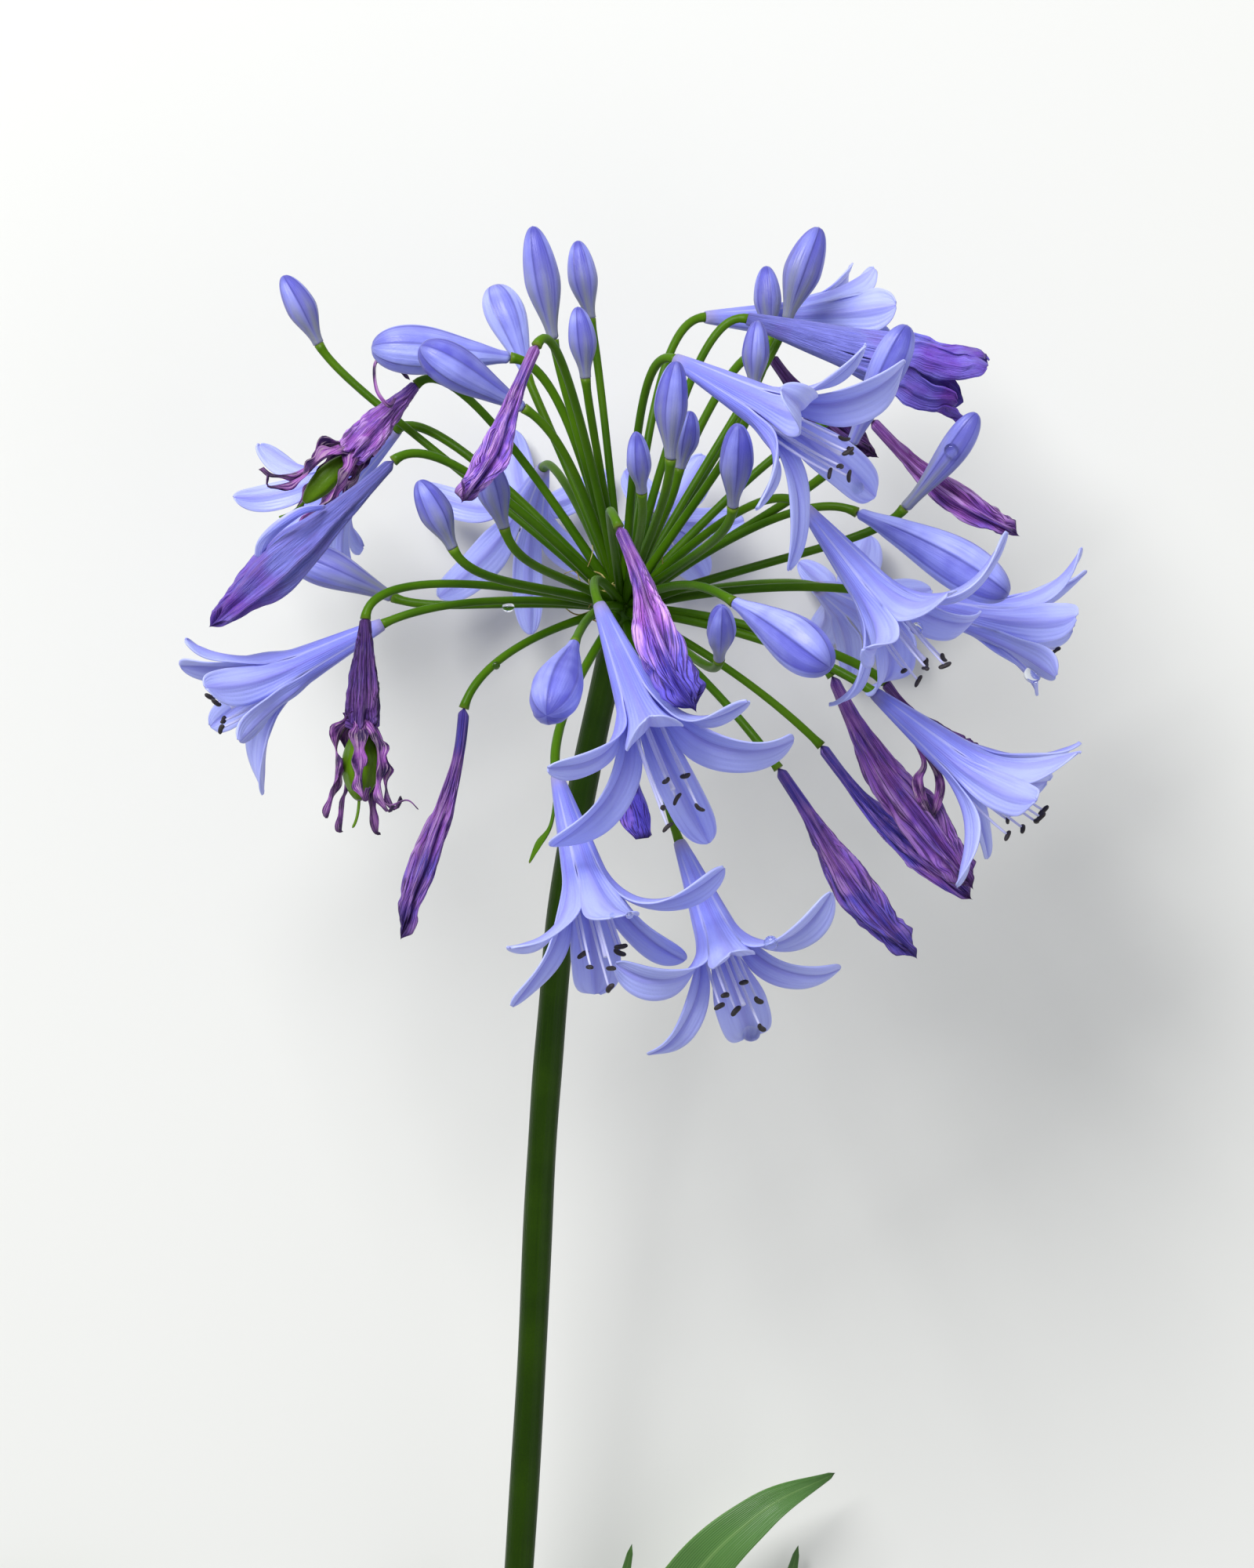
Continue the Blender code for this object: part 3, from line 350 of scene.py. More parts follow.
# The loose lobes and threads: name, slot, finish, points in mm from the head's centre, and half widths in mm
BITS = [
    ("folded_lobe", "petal", "petal_outside",
     [(-63.5, 20.5, 31), (-69, 18.5, 35.5), (-75.5, 13.5, 34.5), (-77.5, 9.5, 31)],
     [0.6, 1.4, 1.9, 1.2]),
    ("dry_loop", "faded", "dry_ribbon",
     [(-46.5, 49.5, 5.5), (-51, 54.5, 8), (-54, 53, 9.5), (-53.8, 47, 9.5), (-51, 43.5, 9),
      (-49.5, 45.5, 7)],
     [0.5, 0.8, 0.7, 0.8, 0.7, 0.3]),
    ("dry_thread", "faded", "dry_ribbon",
     [(-54, -40, 33), (-50, -43.2, 35), (-46, -42.2, 36), (-43.5, -44.2, 36)],
     [0.3, 0.25, 0.2, 0.15]),
    ("side_shoot", "stalk", "stalk_skin",
     [(-13.6, -37.5, 45), (-15, -47, 46.5), (-17.5, -51.5, 46.5), (-19.8, -55.5, 46)],
     [0.5, 0.5, 0.9, 0.25]),
    ("dry_lobe_left", "faded", "dry_ribbon",
     [(58, -21, 20), (65, -33, 19), (64, -38, 21), (65.5, -43, 20), (67.5, -46.5, 18)],
     [0.5, 0.7, 1.6, 1.3, 0.4]),
    ("dry_lobe_right", "faded", "dry_ribbon",
     [(58, -21, 20), (66, -33, 19), (68.8, -38, 18), (68.2, -43, 17), (66.5, -47, 18)],
     [0.5, 0.6, 1.2, 1.0, 0.4]),
    ("hidden_tip", "petal", "faded_skin",
     [(0.5, -30, 55), (2.2, -38, 53), (4.0, -45, 52), (5.4, -50, 52)],
     [1.2, 3.0, 4.2, 2.6]),
]

# The leaves: points in mm along the middle line and half widths in mm
LEAVES = {
    "leaf_long_right": ([(9, 13.4, 3.4), (18, 48, 2.2), (30, 88, 7), (48, 131, 20), (66, 151, 24),
                         (84, 160, 20)],
                        [4.0, 7.5, 8.5, 7.0, 4.5, 0.5]),
    "leaf_young": ([(9, 13.4, 10), (17, 48, 12), (26, 93, 19), (37, 145, 30)],
                   [3.2, 5.0, 5.0, 0.5]),
    "leaf_low_right": ([(9, 15.0, 6.7), (34, 46, 9), (62, 88, 14), (76, 141, 3.5)],
                       [3.6, 6.5, 7.0, 0.5]),
    "leaf_left": ([(-8, 13.4, 10), (-18, 48, 13), (-24, 88, 14), (-8, 136, 6)],
                  [3.6, 7.0, 7.0, 0.5]),
    "leaf_long_left": ([(-9, 14.2, 4.4), (-34, 54, 3.0), (-66, 96, 8), (-100, 120, 12), (-132, 124, 2)],
                       [4.0, 8.0, 8.5, 6.5, 0.5]),
}

# The stage: half the floor's side, each light's name, place, size and power, and the sky
FLOOR_REACH = 2.0
LIGHTS = [("key", (-0.7, 1.5, 1.8), 1.1, 60), ("fill", (1.5, -0.4, 1.6), 1.8, 8)]
SKY_COLOUR = (0.92, 0.95, 1.0, 1)
SKY_STRENGTH = 0.46

# The camera looks straight down on the head from this far, and its picture is this high at the head's depth
CAMERA_DISTANCE = 1.2
CAMERA_SHIFT = Vector((0.86, -38.7)) * MM
PICTURE_HEIGHT = 0.344
SENSOR = 36
CAMERA_SIGHT = 20


def display(red, green, blue):
    """A colour as it shows on a display, from 0 to 255, as the linear colour that a shader takes."""
    shares = (part / 255 for part in (red, green, blue))
    return tuple(share / 12.92 if share < 0.04045 else ((share + 0.055) / 1.055) ** 2.4 for share in shares)


def colour(name, description, *shown):
    """A colour that the user may change."""
    return FloatVectorProperty(name=name, description=description, subtype="COLOR", size=3, min=0, max=1,
                               default=display(*shown))


def length(name, description, millimetres):
    """A length that the user may change."""
    return FloatProperty(name=name, description=description, default=millimetres * MM, min=0,
                         subtype="DISTANCE", unit="LENGTH", precision=5)


class AgapanthusSizes(PropertyGroup):
    """The sizes that give the plant its finer forms"""
    petal_thickness: length("Petal thickness", "Thickness of a petal", 0.36)
    petal_wave: length("Petal wave", "How far a petal's edge waves in and out", 0.55)
    midrib_depth: length("Midrib depth", "Depth of the channel along a petal's middle", 0.5)
    petal_swell: length("Petal swell", "How far each half of a petal swells inwards", 0.35)
    filament_radius: length("Filament radius", "Radius of a stamen's stalk", 0.42)
    anther_length: length("Anther length", "Length of an anther", 2.9)
    anther_radius: length("Anther radius", "Half the width of an anther", 0.60)
    wrinkle_depth: length("Wrinkle depth", "Depth of the wrinkles in a faded flower", 0.34)
    stalk_radius: length("Stalk radius", "Radius of a flower's stalk", 0.95)
    leaf_thickness: length("Leaf thickness", "Thickness of a leaf", 1.3)


class AgapanthusColours(PropertyGroup):
    """The colours of the plant and its stage"""
    petal_inside: colour("Petal inside", "Inner face of a petal", 182, 186, 232)
    petal_throat: colour("Petal throat", "Inner face of the tube", 206, 206, 236)
    petal_outside: colour("Petal outside", "Outer face of a petal", 168, 176, 246)
    petal_tube: colour("Petal tube", "Outer face of the tube", 130, 136, 238)
    petal_rib: colour("Petal rib", "Middle line of a petal", 116, 110, 202)
    petal_edge: colour("Petal edge", "Edges and joints of the petals", 214, 216, 252)
    petal_foot: colour("Petal foot", "Foot of the tube", 150, 145, 200)
    filament: colour("Filament", "Stalk of a stamen", 190, 190, 245)
    anther: colour("Anther", "Anthers", 34, 28, 30)
    pollen: colour("Pollen", "Grains on the anthers", 78, 62, 60)
    bud_violet: colour("Bud violet", "Closed buds", 92, 92, 192)
    # Paler outer faces and patches of the buds, and the painted highlight down the middle of each tepal
    bud_pale: colour("Bud pale", "Pale faces of the buds", 168, 176, 248)
    bud_slate: colour("Bud slate", "Young buds", 114, 114, 172)
    bud_green: colour("Bud green", "Feet and stripes of the young buds", 128, 132, 144)
    faded_violet: colour("Faded violet", "Faded flowers, still blue", 98, 86, 204)
    faded_pink: colour("Faded pink", "Faded flowers, turned pink", 186, 106, 208)
    closing_blue: colour("Closing blue", "Closing flowers, still blue", 136, 140, 236)
    closing_purple: colour("Closing purple", "Tips of the closing flowers", 116, 48, 190)
    # Pale patches, and the painted highlight on the ridges of the faded flowers' wrinkles
    faded_pale_and_highlight: colour("Faded pale", "Ridges of the faded flowers", 214, 168, 240)
    # The dark purple of dried petals, and also the painted shade in the faded flowers' folds
    faded_dark_and_fold_shade: colour("Faded dark", "Folds of the faded flowers", 40, 18, 66)
    faded_straw: colour("Faded straw", "Dry ends of the faded flowers", 176, 150, 170)
    stalk_green: colour("Stalk green", "Stalks of the flowers", 74, 112, 8)
    stalk_deep: colour("Stalk deep", "Stalks near the dome", 44, 84, 0)
    stalk_olive: colour("Stalk olive", "Ends of the stalks", 112, 122, 50)
    stem_green: colour("Stem green", "The stem", 38, 64, 0)
    stem_deep: colour("Stem deep", "Darker streaks of the stem", 20, 42, 0)
    leaf_green: colour("Leaf green", "Leaves", 70, 118, 46)
    leaf_pale: colour("Leaf pale", "Veins and edges of the leaves", 118, 154, 84)
    pod_green: colour("Pod green", "Seed pods", 86, 118, 18)
    foot_pale: colour("Foot pale", "The joined leaf bases", 214, 218, 176)
    foot_brown: colour("Foot brown", "The foot's old edges", 150, 116, 80)
    thread: colour("Thread", "Dry threads round the dome", 186, 180, 110)
    thread_brown: colour("Thread brown", "Darker parts of the dry threads", 150, 120, 66)
    water: colour("Water", "Drops of water", 240, 244, 255)
    floor: colour("Floor", "The plain floor", 214, 214, 210)


def step_of(operation, swapped=False):
    """An operator of Signal: one step of a sum, with the other value first where it is swapped."""
    def step(self, other):
        values = (other, self) if swapped else (self, other)
        return self.shader.math(operation, *values)

    return step


class Signal:
    """A number in a shader, carried by a socket, with which sums are written as plain expressions."""

    def __init__(self, shader, socket):
        self.shader = shader
        self.socket = socket

    __add__ = __radd__ = step_of("ADD")
    __mul__ = __rmul__ = step_of("MULTIPLY")
    __sub__ = step_of("SUBTRACT")
    __rsub__ = step_of("SUBTRACT", swapped=True)
    __truediv__ = step_of("DIVIDE")

    def part(self, number):
        """Another output of the same node."""
        return Signal(self.shader, self.socket.node.outputs[number])

    def limited(self):
        """The number kept between 0 and 1."""
        return self.shader.math("ADD", self, 0.0, clamp=True)

    def bell(self, width):
        """1 where the number is 0, falling off softly on both sides."""
        scaled = self / width
        return self.shader.math("EXPONENT", scaled * scaled * -1)

    def step(self, low, high):
        """A soft step from 0 at the low value to 1 at the high one."""
        return self.shader.node("ShaderNodeMapRange", {"interpolation_type": "SMOOTHSTEP"},
                                {"Value": self, "From Min": low, "From Max": high})


class Shader:
    """A material whose nodes are added by expressions."""

    def __init__(self, name):
        self.material = bpy.data.materials.new(name)
        self.material.use_nodes = True
        self.tree = self.material.node_tree
        self.surface = self.tree.nodes["Principled BSDF"]

    def node(self, kind, settings=None, inputs=None, output=0):
        """Adds a node: its settings first, then the values or links of its sockets."""
        made = self.tree.nodes.new(kind)
        for key, value in (settings or {}).items():
            setattr(made, key, value)
        for key, value in (inputs or {}).items():
            self.feed(made.inputs[key], value)
        return Signal(self, made.outputs[output])

    def feed(self, socket, value):
        """Links a signal to a socket, or sets its value."""
        if isinstance(value, Signal):
            self.tree.links.new(value.socket, socket)
        elif socket.type == "RGBA" and len(value) == 3:
            socket.default_value = (*value, 1)
        else:
            socket.default_value = value

    def math(self, operation, *values, clamp=False):
        """One step of a sum."""
        settings = {"operation": operation, "use_clamp": clamp}
        return self.node("ShaderNodeMath", settings, dict(enumerate(values)))

    def mix(self, factor, below, above, **settings):
        """Two colours mixed."""
        settings["data_type"] = "RGBA"
        return self.node("ShaderNodeMix", settings, {0: factor, 6: below, 7: above}, 2)

    def layers(self, tone, *coats):
        """A colour with others laid over it in turn, each given as its share and its colour."""
        for share, coat in coats:
            tone = self.mix(share, tone, coat)
        return tone

    def shaded(self, below, factor):
        """A colour multiplied by a number."""
        grey = self.node("ShaderNodeCombineColor", None, {0: factor, 1: factor, 2: factor})
        return self.mix(1.0, below, grey, blend_type="MULTIPLY")

    def surface_map(self):
        """The piece's own map: one number across it and one along it."""
        point = self.node("ShaderNodeUVMap", {"uv_map": "UVMap"})
        parts = self.node("ShaderNodeSeparateXYZ", None, {0: point})
        return parts, parts.part(1)

    def attribute(self, name):
        """A number that the mesh carries."""
        return self.node("ShaderNodeAttribute", {"attribute_name": name}, None, 2)

    def speckle(self, scale, detail=2.0, point=None):
        """Soft noise from 0 to 1, at a scale per metre unless a point is given."""
        point = point or self.node("ShaderNodeTexCoord", None, None, 3)
        return self.node("ShaderNodeTexNoise", None, {"Vector": point, "Scale": scale, "Detail": detail})

    def streaks(self, across, along, scale, detail=2.0):
        """Noise drawn out along the piece."""
        point = self.node("ShaderNodeCombineXYZ", None, {0: across, 1: along})
        return self.speckle(scale, detail, point)

    def finish(self, base, roughness, height=None, depth=0.05 * MM, **fixed):
        """Sets the surface: what varies over it, its fine relief, and values that are the same all over."""
        self.feed(self.surface.inputs["Base Color"], base)
        self.feed(self.surface.inputs["Roughness"], roughness)
        if height:
            relief = self.node("ShaderNodeBump", None, {"Height": height, "Strength": 1.0, "Distance": depth})
            self.feed(self.surface.inputs["Normal"], relief)
        for key, value in fixed.items():
            self.surface.inputs[key.replace("_", " ").title().replace("Ior", "IOR")].default_value = value
        return self.material


def flesh(share, colours, depth, **fixed):
    """How light goes into a soft surface: its share, how far each colour reaches, and the depth in mm."""
    return {"subsurface_weight": share, "subsurface_radius": colours, "subsurface_scale": depth * MM, **fixed}


SOFT_FLESH = flesh(0.32, (1.0, 0.9, 1.2), 1.2, specular_ior_level=0.32)
WORN_FLESH = flesh(0.12, (1.0, 0.8, 1.1), 0.8, specular_ior_level=0.22)
GREEN_FLESH = flesh(0.12, (0.8, 1.0, 0.4), 0.8, specular_ior_level=0.12)
LEAF_FLESH = flesh(0.1, (0.8, 1.0, 0.4), 0.8)


def midrib_map(shader):
    """How far a point is across its petal, from the petal's midrib (0 to 1) and along the petal."""
    across, along = shader.surface_map()
    side = shader.math("ABSOLUTE", shader.math("FRACT", across) * 2 - 1)
    return across, side, along


def petal_grain(shader, across, side, along):
    """The veins of a petal, its clouds of colour and its streaks."""
    veins = shader.math("COSINE", side * 30) * 0.5 + 0.5
    return veins, shader.speckle(70, 3), shader.streaks(across * 3, along * 0.8, 3.0)


def petal_inside(colours):
    """The inner face: lavender, with a violet midrib, fine veins and darker rims."""
    shader = Shader("petal_inside")
    across, side, along = midrib_map(shader)
    veins, clouds, streaks = petal_grain(shader, across, side, along)
    rib = side.bell(0.11) * along.step(0.30, 0.50)
    tone = shader.layers(
        colours.petal_throat,
        (along.step(0.40, 0.66), colours.petal_inside),
        (clouds.step(0.40, 0.72) * 0.30, colours.petal_outside),
        ((veins * 0.12 + streaks.step(0.48, 0.72) * 0.20) * along.step(0.25, 0.5), colours.petal_rib),
        (rib * 0.70, colours.petal_rib),
        (side.step(0.90, 1.0) * 0.22, colours.petal_rib))
    relief = veins * 0.5 + shader.speckle(2200, 2) * 0.4 + streaks * 0.8 - rib * 0.6
    return shader.finish(tone, clouds * 0.12 + 0.36, relief, 0.09 * MM, **SOFT_FLESH)


def petal_outside(colours):
    """The outer face: bluer, deepest on the tube, with pale lines where the petals join."""
    shader = Shader("petal_outside")
    across, side, along = midrib_map(shader)
    veins, clouds, streaks = petal_grain(shader, across, side, along)
    joint = side.step(0.74, 0.97) * along.step(0.04, 0.14) * (1 - along.step(0.42, 0.55) * 0.8)
    tone = shader.layers(
        colours.petal_tube,
        (along.step(0.34, 0.80), colours.petal_outside),
        (clouds.step(0.45, 0.75) * 0.35, colours.petal_outside),
        (streaks.step(0.46, 0.70) * 0.30, colours.petal_rib),
        (side.bell(0.20) * 0.45, colours.petal_rib),
        (joint * 0.35, colours.petal_edge),
        (1 - along.step(0.0, 0.09), colours.petal_foot))
    relief = veins * 0.4 + shader.speckle(2200, 2) * 0.4 + streaks * 1.0
    return shader.finish(tone, clouds * 0.12 + 0.33, relief, 0.10 * MM, **SOFT_FLESH)


def filament(colours):
    """The stalks of the stamens, paler towards their roots."""
    shader = Shader("filament")
    along = shader.surface_map()[1]
    tone = shader.layers(colours.petal_edge, (along.step(0.3, 1.0) * 0.6, colours.filament))
    return shader.finish(tone, 0.4, shader.speckle(1500) * 0.5, 0.03 * MM, **SOFT_FLESH)


def anther(colours):
    """The dark anthers, grained with pollen sacs."""
    shader = Shader("anther")
    grain = shader.speckle(2200, 3)
    tone = shader.layers(colours.anther, (grain.step(0.5, 0.8) * 0.5, colours.pollen))
    return shader.finish(tone, 0.62, grain, 0.12 * MM)


def bud_skin(colours):
    """A bud: violet with paler outer faces, a painted highlight down each tepal's middle, dark joints, and
    grey-green stripes on the young ones.
    """
    shader = Shader("bud_skin")
    across, side, along = midrib_map(shader)
    green, dark = shader.attribute("tone"), shader.attribute("shade")
    streaks = shader.streaks(across * 2.4, along * 0.8, 3.0, 3)
    face = shader.speckle(140, 2).step(0.3, 0.7)
    outer = shader.math("SINE", across * math.pi).step(-0.2, 0.2)
    # (1 - side) paints a highlight down the middle of each tepal; the outer faces and the patches are the
    # bud's own paler colour
    pale = outer * 0.45 + face * 0.35 + (1 - side) * 0.25 - dark * 0.8
    stripe = (1 - side.step(0.10, 0.75)) * (1 - along.step(0.42, 0.88)) * green
    base = (1 - along.step(0.05, 0.60)) * green
    joint = (side - 1).bell(0.11) * along.step(0.12, 0.35)
    tone = shader.layers(
        colours.bud_violet,
        (pale.limited(), colours.bud_pale),
        (green * 0.75, colours.bud_slate),
        ((stripe * 0.7 + base * 0.8).limited(), colours.bud_green),
        (streaks.step(0.46, 0.72) * 0.30, colours.bud_violet),
        (along.step(0.86, 1.0) * 0.55, shader.shaded(colours.bud_violet, 0.6)),
        (joint * 0.60, shader.shaded(colours.bud_violet, 0.5)))
    relief = streaks * 1.2 + shader.speckle(2200) * 0.4
    return shader.finish(tone, face * 0.1 + 0.33, relief, 0.12 * MM, **SOFT_FLESH)


def worn_skin(name, colours, violet, pink_tone, pale_highlight_share, dark_and_fold_shade_share):
    """A petal past its best: violet turning to pink, with pale patches, painted highlights on the ridges,
    dark veins, painted shade in the folds and a dry end.
    """
    shader = Shader(name)
    across, along = shader.surface_map()
    pink, dark, crease = (shader.attribute(key) for key in ("tone", "shade", "crease"))
    clouds = shader.speckle(150, 3)
    streaks = shader.streaks(across * 1.8, along * 0.8, 4.0, 3)
    veins = shader.streaks(across * 4.2, along * 0.7, 6.0, 2)
    turned = pink * 1.15 + (clouds - 0.5) * 1.6 + (streaks - 0.5) * dark_and_fold_shade_share - 0.15
    # Painted highlight: the wrinkles' ridges, read from the crease height, are made paler, with random pale
    # patches added
    ridge = (crease.step(0.45, 0.80) * (1 - dark * 0.4) + clouds.step(0.52, 0.68) * 0.5) * pale_highlight_share
    ridge = ridge * (pink * 0.9 + 0.35).limited()
    # Painted shade in the creases of the wrinkles, together with the real dark veins
    fold = (1 - crease.step(0.10, 0.40)) * 0.7 + veins.step(0.53, 0.57) * 0.85
    dry = along.step(0.86, 1.0) * (clouds.step(0.3, 0.6) * 0.5 + 0.5) * dark_and_fold_shade_share
    tone = shader.layers(
        violet,
        (turned.limited(), pink_tone),
        (ridge * (streaks.step(0.40, 0.60) * 0.75 + 0.25), colours.faded_pale_and_highlight),
        ((dark * (streaks.step(0.42, 0.60) * 0.45 + 0.75)).limited(), colours.faded_dark_and_fold_shade),
        (fold.limited() * dark_and_fold_shade_share, colours.faded_dark_and_fold_shade),
        (dry, shader.shaded(colours.faded_dark_and_fold_shade, 0.6)))
    relief = streaks * 0.8 + veins * 1.6 + shader.speckle(1400, 3) * 0.5
    return shader.finish(tone, 0.36 + clouds * 0.14, relief, 0.38 * MM, **WORN_FLESH)


def faded_skin(colours):
    """A faded flower."""
    return worn_skin("faded_skin", colours, colours.faded_violet, colours.faded_pink, 0.95, 0.85)


def closing_skin(colours):
    """A flower that is just closing, still mostly blue."""
    return worn_skin("closing_skin", colours, colours.closing_blue, colours.closing_purple, 0.30, 0.16)


def dry_ribbon(colours):
    """A dried lobe: dark purple with paler edges and streaks, and a darker end."""
    shader = Shader("dry_ribbon")
    across, along = shader.surface_map()
    clouds = shader.speckle(260, 3)
    streaks = shader.streaks(across * 5, along * 1.5, 3.0, 3)
    tone = shader.layers(
        colours.faded_dark_and_fold_shade,
        (clouds.step(0.35, 0.65) * 0.7, colours.faded_pink),
        (streaks.step(0.52, 0.60) * 0.65, colours.faded_straw),
        ((1 - streaks.step(0.40, 0.50)) * 0.7, colours.faded_dark_and_fold_shade),
        (along.step(0.75, 1.0) * 0.7, shader.shaded(colours.faded_dark_and_fold_shade, 0.6)))
    relief = streaks * 1.2 + shader.speckle(1400, 3) * 0.6
    return shader.finish(tone, 0.45 + clouds * 0.15, relief, 0.22 * MM, specular_ior_level=0.22)


def green_skin(name, deep, light, end, ribs, depth=0.08 * MM):
    """Green stalks and pods: fine streaks along them, and another colour towards their ends."""
    shader = Shader(name)
    across, along = shader.surface_map()
    clouds = shader.speckle(70, 3)
    streaks = shader.streaks(across * ribs, along * 3, 3.0, 3)
    tone = shader.layers(
        deep,
        ((clouds.step(0.3, 0.7) * 0.5 + along * 0.5).limited(), light),
        (streaks.step(0.5, 0.75) * 0.30, light),
        (streaks.step(0.2, 0.45) * -0.35 + 0.35, deep),
        (along.step(0.93, 1.0) * 0.85, end))
    relief = streaks + shader.speckle(1800) * 0.5
    return shader.finish(tone, clouds * 0.12 + 0.30, relief, depth, **GREEN_FLESH)


def stalk_skin(colours):
    """The flower stalks."""
    return green_skin("stalk_skin", colours.stalk_deep, colours.stalk_green, colours.stalk_olive, 4)


def pod_skin(colours):
    """The seed pods."""
    return green_skin("pod_skin", colours.stalk_green, colours.pod_green, colours.faded_straw, 6)


def stem_skin(colours):
    """The tall stem."""
    return green_skin("stem_skin", colours.stem_deep, colours.stem_green, colours.stem_green, 14, 0.12 * MM)


def leaf_skin(colours):
    """A strap leaf: parallel veins, a pale midrib and edges, and a pale foot."""
    shader = Shader("leaf_skin")
    across, along = shader.surface_map()
    side = shader.math("ABSOLUTE", across * 2 - 1)
    veins = shader.math("COSINE", across * 150) * 0.5 + 0.5
    clouds = shader.speckle(45, 3)
    streaks = shader.streaks(across * 22, along * 2.5, 3.0, 3)
    tone = shader.layers(
        colours.leaf_green,
        (clouds.step(0.3, 0.75) * 0.55, shader.shaded(colours.leaf_green, 0.62)),
        (veins * 0.16 + streaks.step(0.5, 0.8) * 0.25, colours.leaf_pale),
        (side.bell(0.07) * 0.5, colours.leaf_pale),
        (side.step(0.94, 1.0) * 0.5, colours.leaf_pale),
        (1 - along.step(0.0, 0.16), colours.foot_pale))
    return shader.finish(tone, clouds * 0.15 + 0.33, veins * 0.7 + streaks, 0.10 * MM, **LEAF_FLESH)


def foot_skin(colours):
    """The joined leaf bases: pale, green towards the leaves, brown and fibrous at the cut."""
    shader = Shader("foot_skin")
    across, along = shader.surface_map()
    streaks = shader.streaks(across * 40, along * 1.5, 3.0, 3)
    clouds = shader.speckle(120, 3)
    tone = shader.layers(
        colours.foot_pale,
        (along.step(0.45, 0.85) * 0.8, colours.leaf_green),
        (streaks.step(0.45, 0.75) * 0.45, colours.leaf_pale),
        ((1 - along.step(0.16, 0.36)) * clouds.step(0.35, 0.7) * 0.8, colours.foot_brown))
    return shader.finish(tone, 0.5, streaks + clouds * 0.5, 0.25 * MM, subsurface_weight=0.1,
                         subsurface_scale=1.0 * MM)


def thread_skin(colours):
    """The dry threads round the dome."""
    shader = Shader("thread_skin")
    clouds = shader.speckle(700, 2)
    tone = shader.layers(colours.thread, (clouds.step(0.4, 0.65), colours.thread_brown))
    return shader.finish(tone, 0.6, clouds, 0.1 * MM)


def water(colours):
    """Clear water."""
    shader = Shader("water")
    return shader.finish(colours.water, 0.03, transmission_weight=1.0, ior=1.33)


def floor(colours):
    """The plain pale floor."""
    shader = Shader("floor")
    patches = shader.speckle(3, 2) * 0.15
    tone = shader.layers(colours.floor, (patches, shader.shaded(colours.floor, 0.93)))
    return shader.finish(tone, 0.75)


MAKERS = {maker.__name__: maker for maker in (
    petal_inside, petal_outside, filament, anther, bud_skin, faded_skin, closing_skin, dry_ribbon, stalk_skin,
    pod_skin, stem_skin, leaf_skin, foot_skin, thread_skin, water, floor)}


def material_named(name):
    """The finish of that name, made once."""
    found = bpy.data.materials.get(name)
    return found or MAKERS[name](bpy.context.scene.agapanthus_colours)


def smoothstep(share):
    """0 below 0, 1 above 1 and a soft step between."""
    share = min(max(share, 0.0), 1.0)
    return share * share * (3 - 2 * share)


def rise(share, start, width):
    """A soft step from 0 at the start to 1 at that width past it."""
    return smoothstep((share - start) / width)


def between(low, high, share):
    """The value at that share of the way from low to high."""
    return low + (high - low) * share


def bell(value, width):
    """1 at 0, falling off softly on both sides."""
    return math.exp(-(value / width) ** 2)


def around(turn, radius=1.0, height=0.0):
    """The point at that angle round the Z axis, that far out and that high."""
    return Vector((math.cos(turn) * radius, math.sin(turn) * radius, height))


def smooth_noise(seed, turn, share, grain, reach):
    """Noise from about -1 to 1 over a round form: grain cells round it and reach cells along it."""
    return noise.noise(seed + around(turn, grain, share * reach))


def smooth_values(values, count):
    """Numbers at even steps on one smooth curve through the given ones."""
    return [point.x for point in smooth_line([Vector((value, 0, 0)) for value in values], count)]


def mesh_from(shape, name):
    """The bmesh as a mesh."""
    mesh = bpy.data.meshes.new(name)
    shape.to_mesh(mesh)
    shape.free()
    return mesh


def closed_mesh(shape, name):
    """The bmesh as a mesh, with the faces of its closed bodies turned outwards."""
    weld(shape)
    bmesh.ops.recalc_face_normals(shape, faces=shape.faces)
    return mesh_from(shape, name)


def soft_least(first, second, softness):
    """The lesser of two values, with a rounded change from one to the other."""
    nearness = max(softness - abs(first - second), 0.0) / softness
    return min(first, second) - nearness * nearness * softness / 4


def smooth_line(points, count):
    """Points at even steps on one smooth curve through the given points."""
    padded = [2 * points[0] - points[1], *points, 2 * points[-1] - points[-2]]
    line = []
    for step in range(count):
        place = step / (count - 1) * (len(points) - 1)
        first = min(int(place), len(points) - 2)
        t = place - first
        a, b, c, d = padded[first:first + 4]
        line.append(0.5 * (2 * b + (c - a) * t + (2 * a - 5 * b + 4 * c - d) * t ** 2
                           + (3 * b - a - 3 * c + d) * t ** 3))
    return line


def arc_line(start, middle, end, count):
    """Points on a simple curve that sets out from the start towards the middle and ends at the end."""
    steps = (number / (count - 1) for number in range(count))
    return [start * (1 - t) ** 2 + middle * 2 * t * (1 - t) + end * t ** 2 for t in steps]


def new_shape():
    """An empty bmesh with the layers that the finishes read."""
    shape = bmesh.new()
    shape.loops.layers.uv.new("UVMap")
    for name in ("crease", "tone", "shade"):
        shape.verts.layers.float.new(name)
    return shape


def sheet(shape, columns, rows, place, material=0, mapped=None, crease=None):
    """Adds a grid and moves its points to place(across, along), both from 0 to 1; its map keeps those."""
    grid = bmesh.ops.create_grid(shape, x_segments=columns, y_segments=rows, size=0.5)
    uv_layer = shape.loops.layers.uv["UVMap"]
    crease_layer = shape.verts.layers.float["crease"]
    spots = {vertex: (vertex.co.x + 0.5, vertex.co.y + 0.5) for vertex in grid["verts"]}
    for face in {face for vertex in spots for face in vertex.link_faces}:
        face.material_index = material
        face.smooth = True
        for loop in face.loops:
            loop[uv_layer].uv = mapped(*spots[loop.vert]) if mapped else spots[loop.vert]
    for vertex, spot in spots.items():
        vertex.co = place(*spot)
        vertex[crease_layer] = crease(*spot) if crease else 0.5


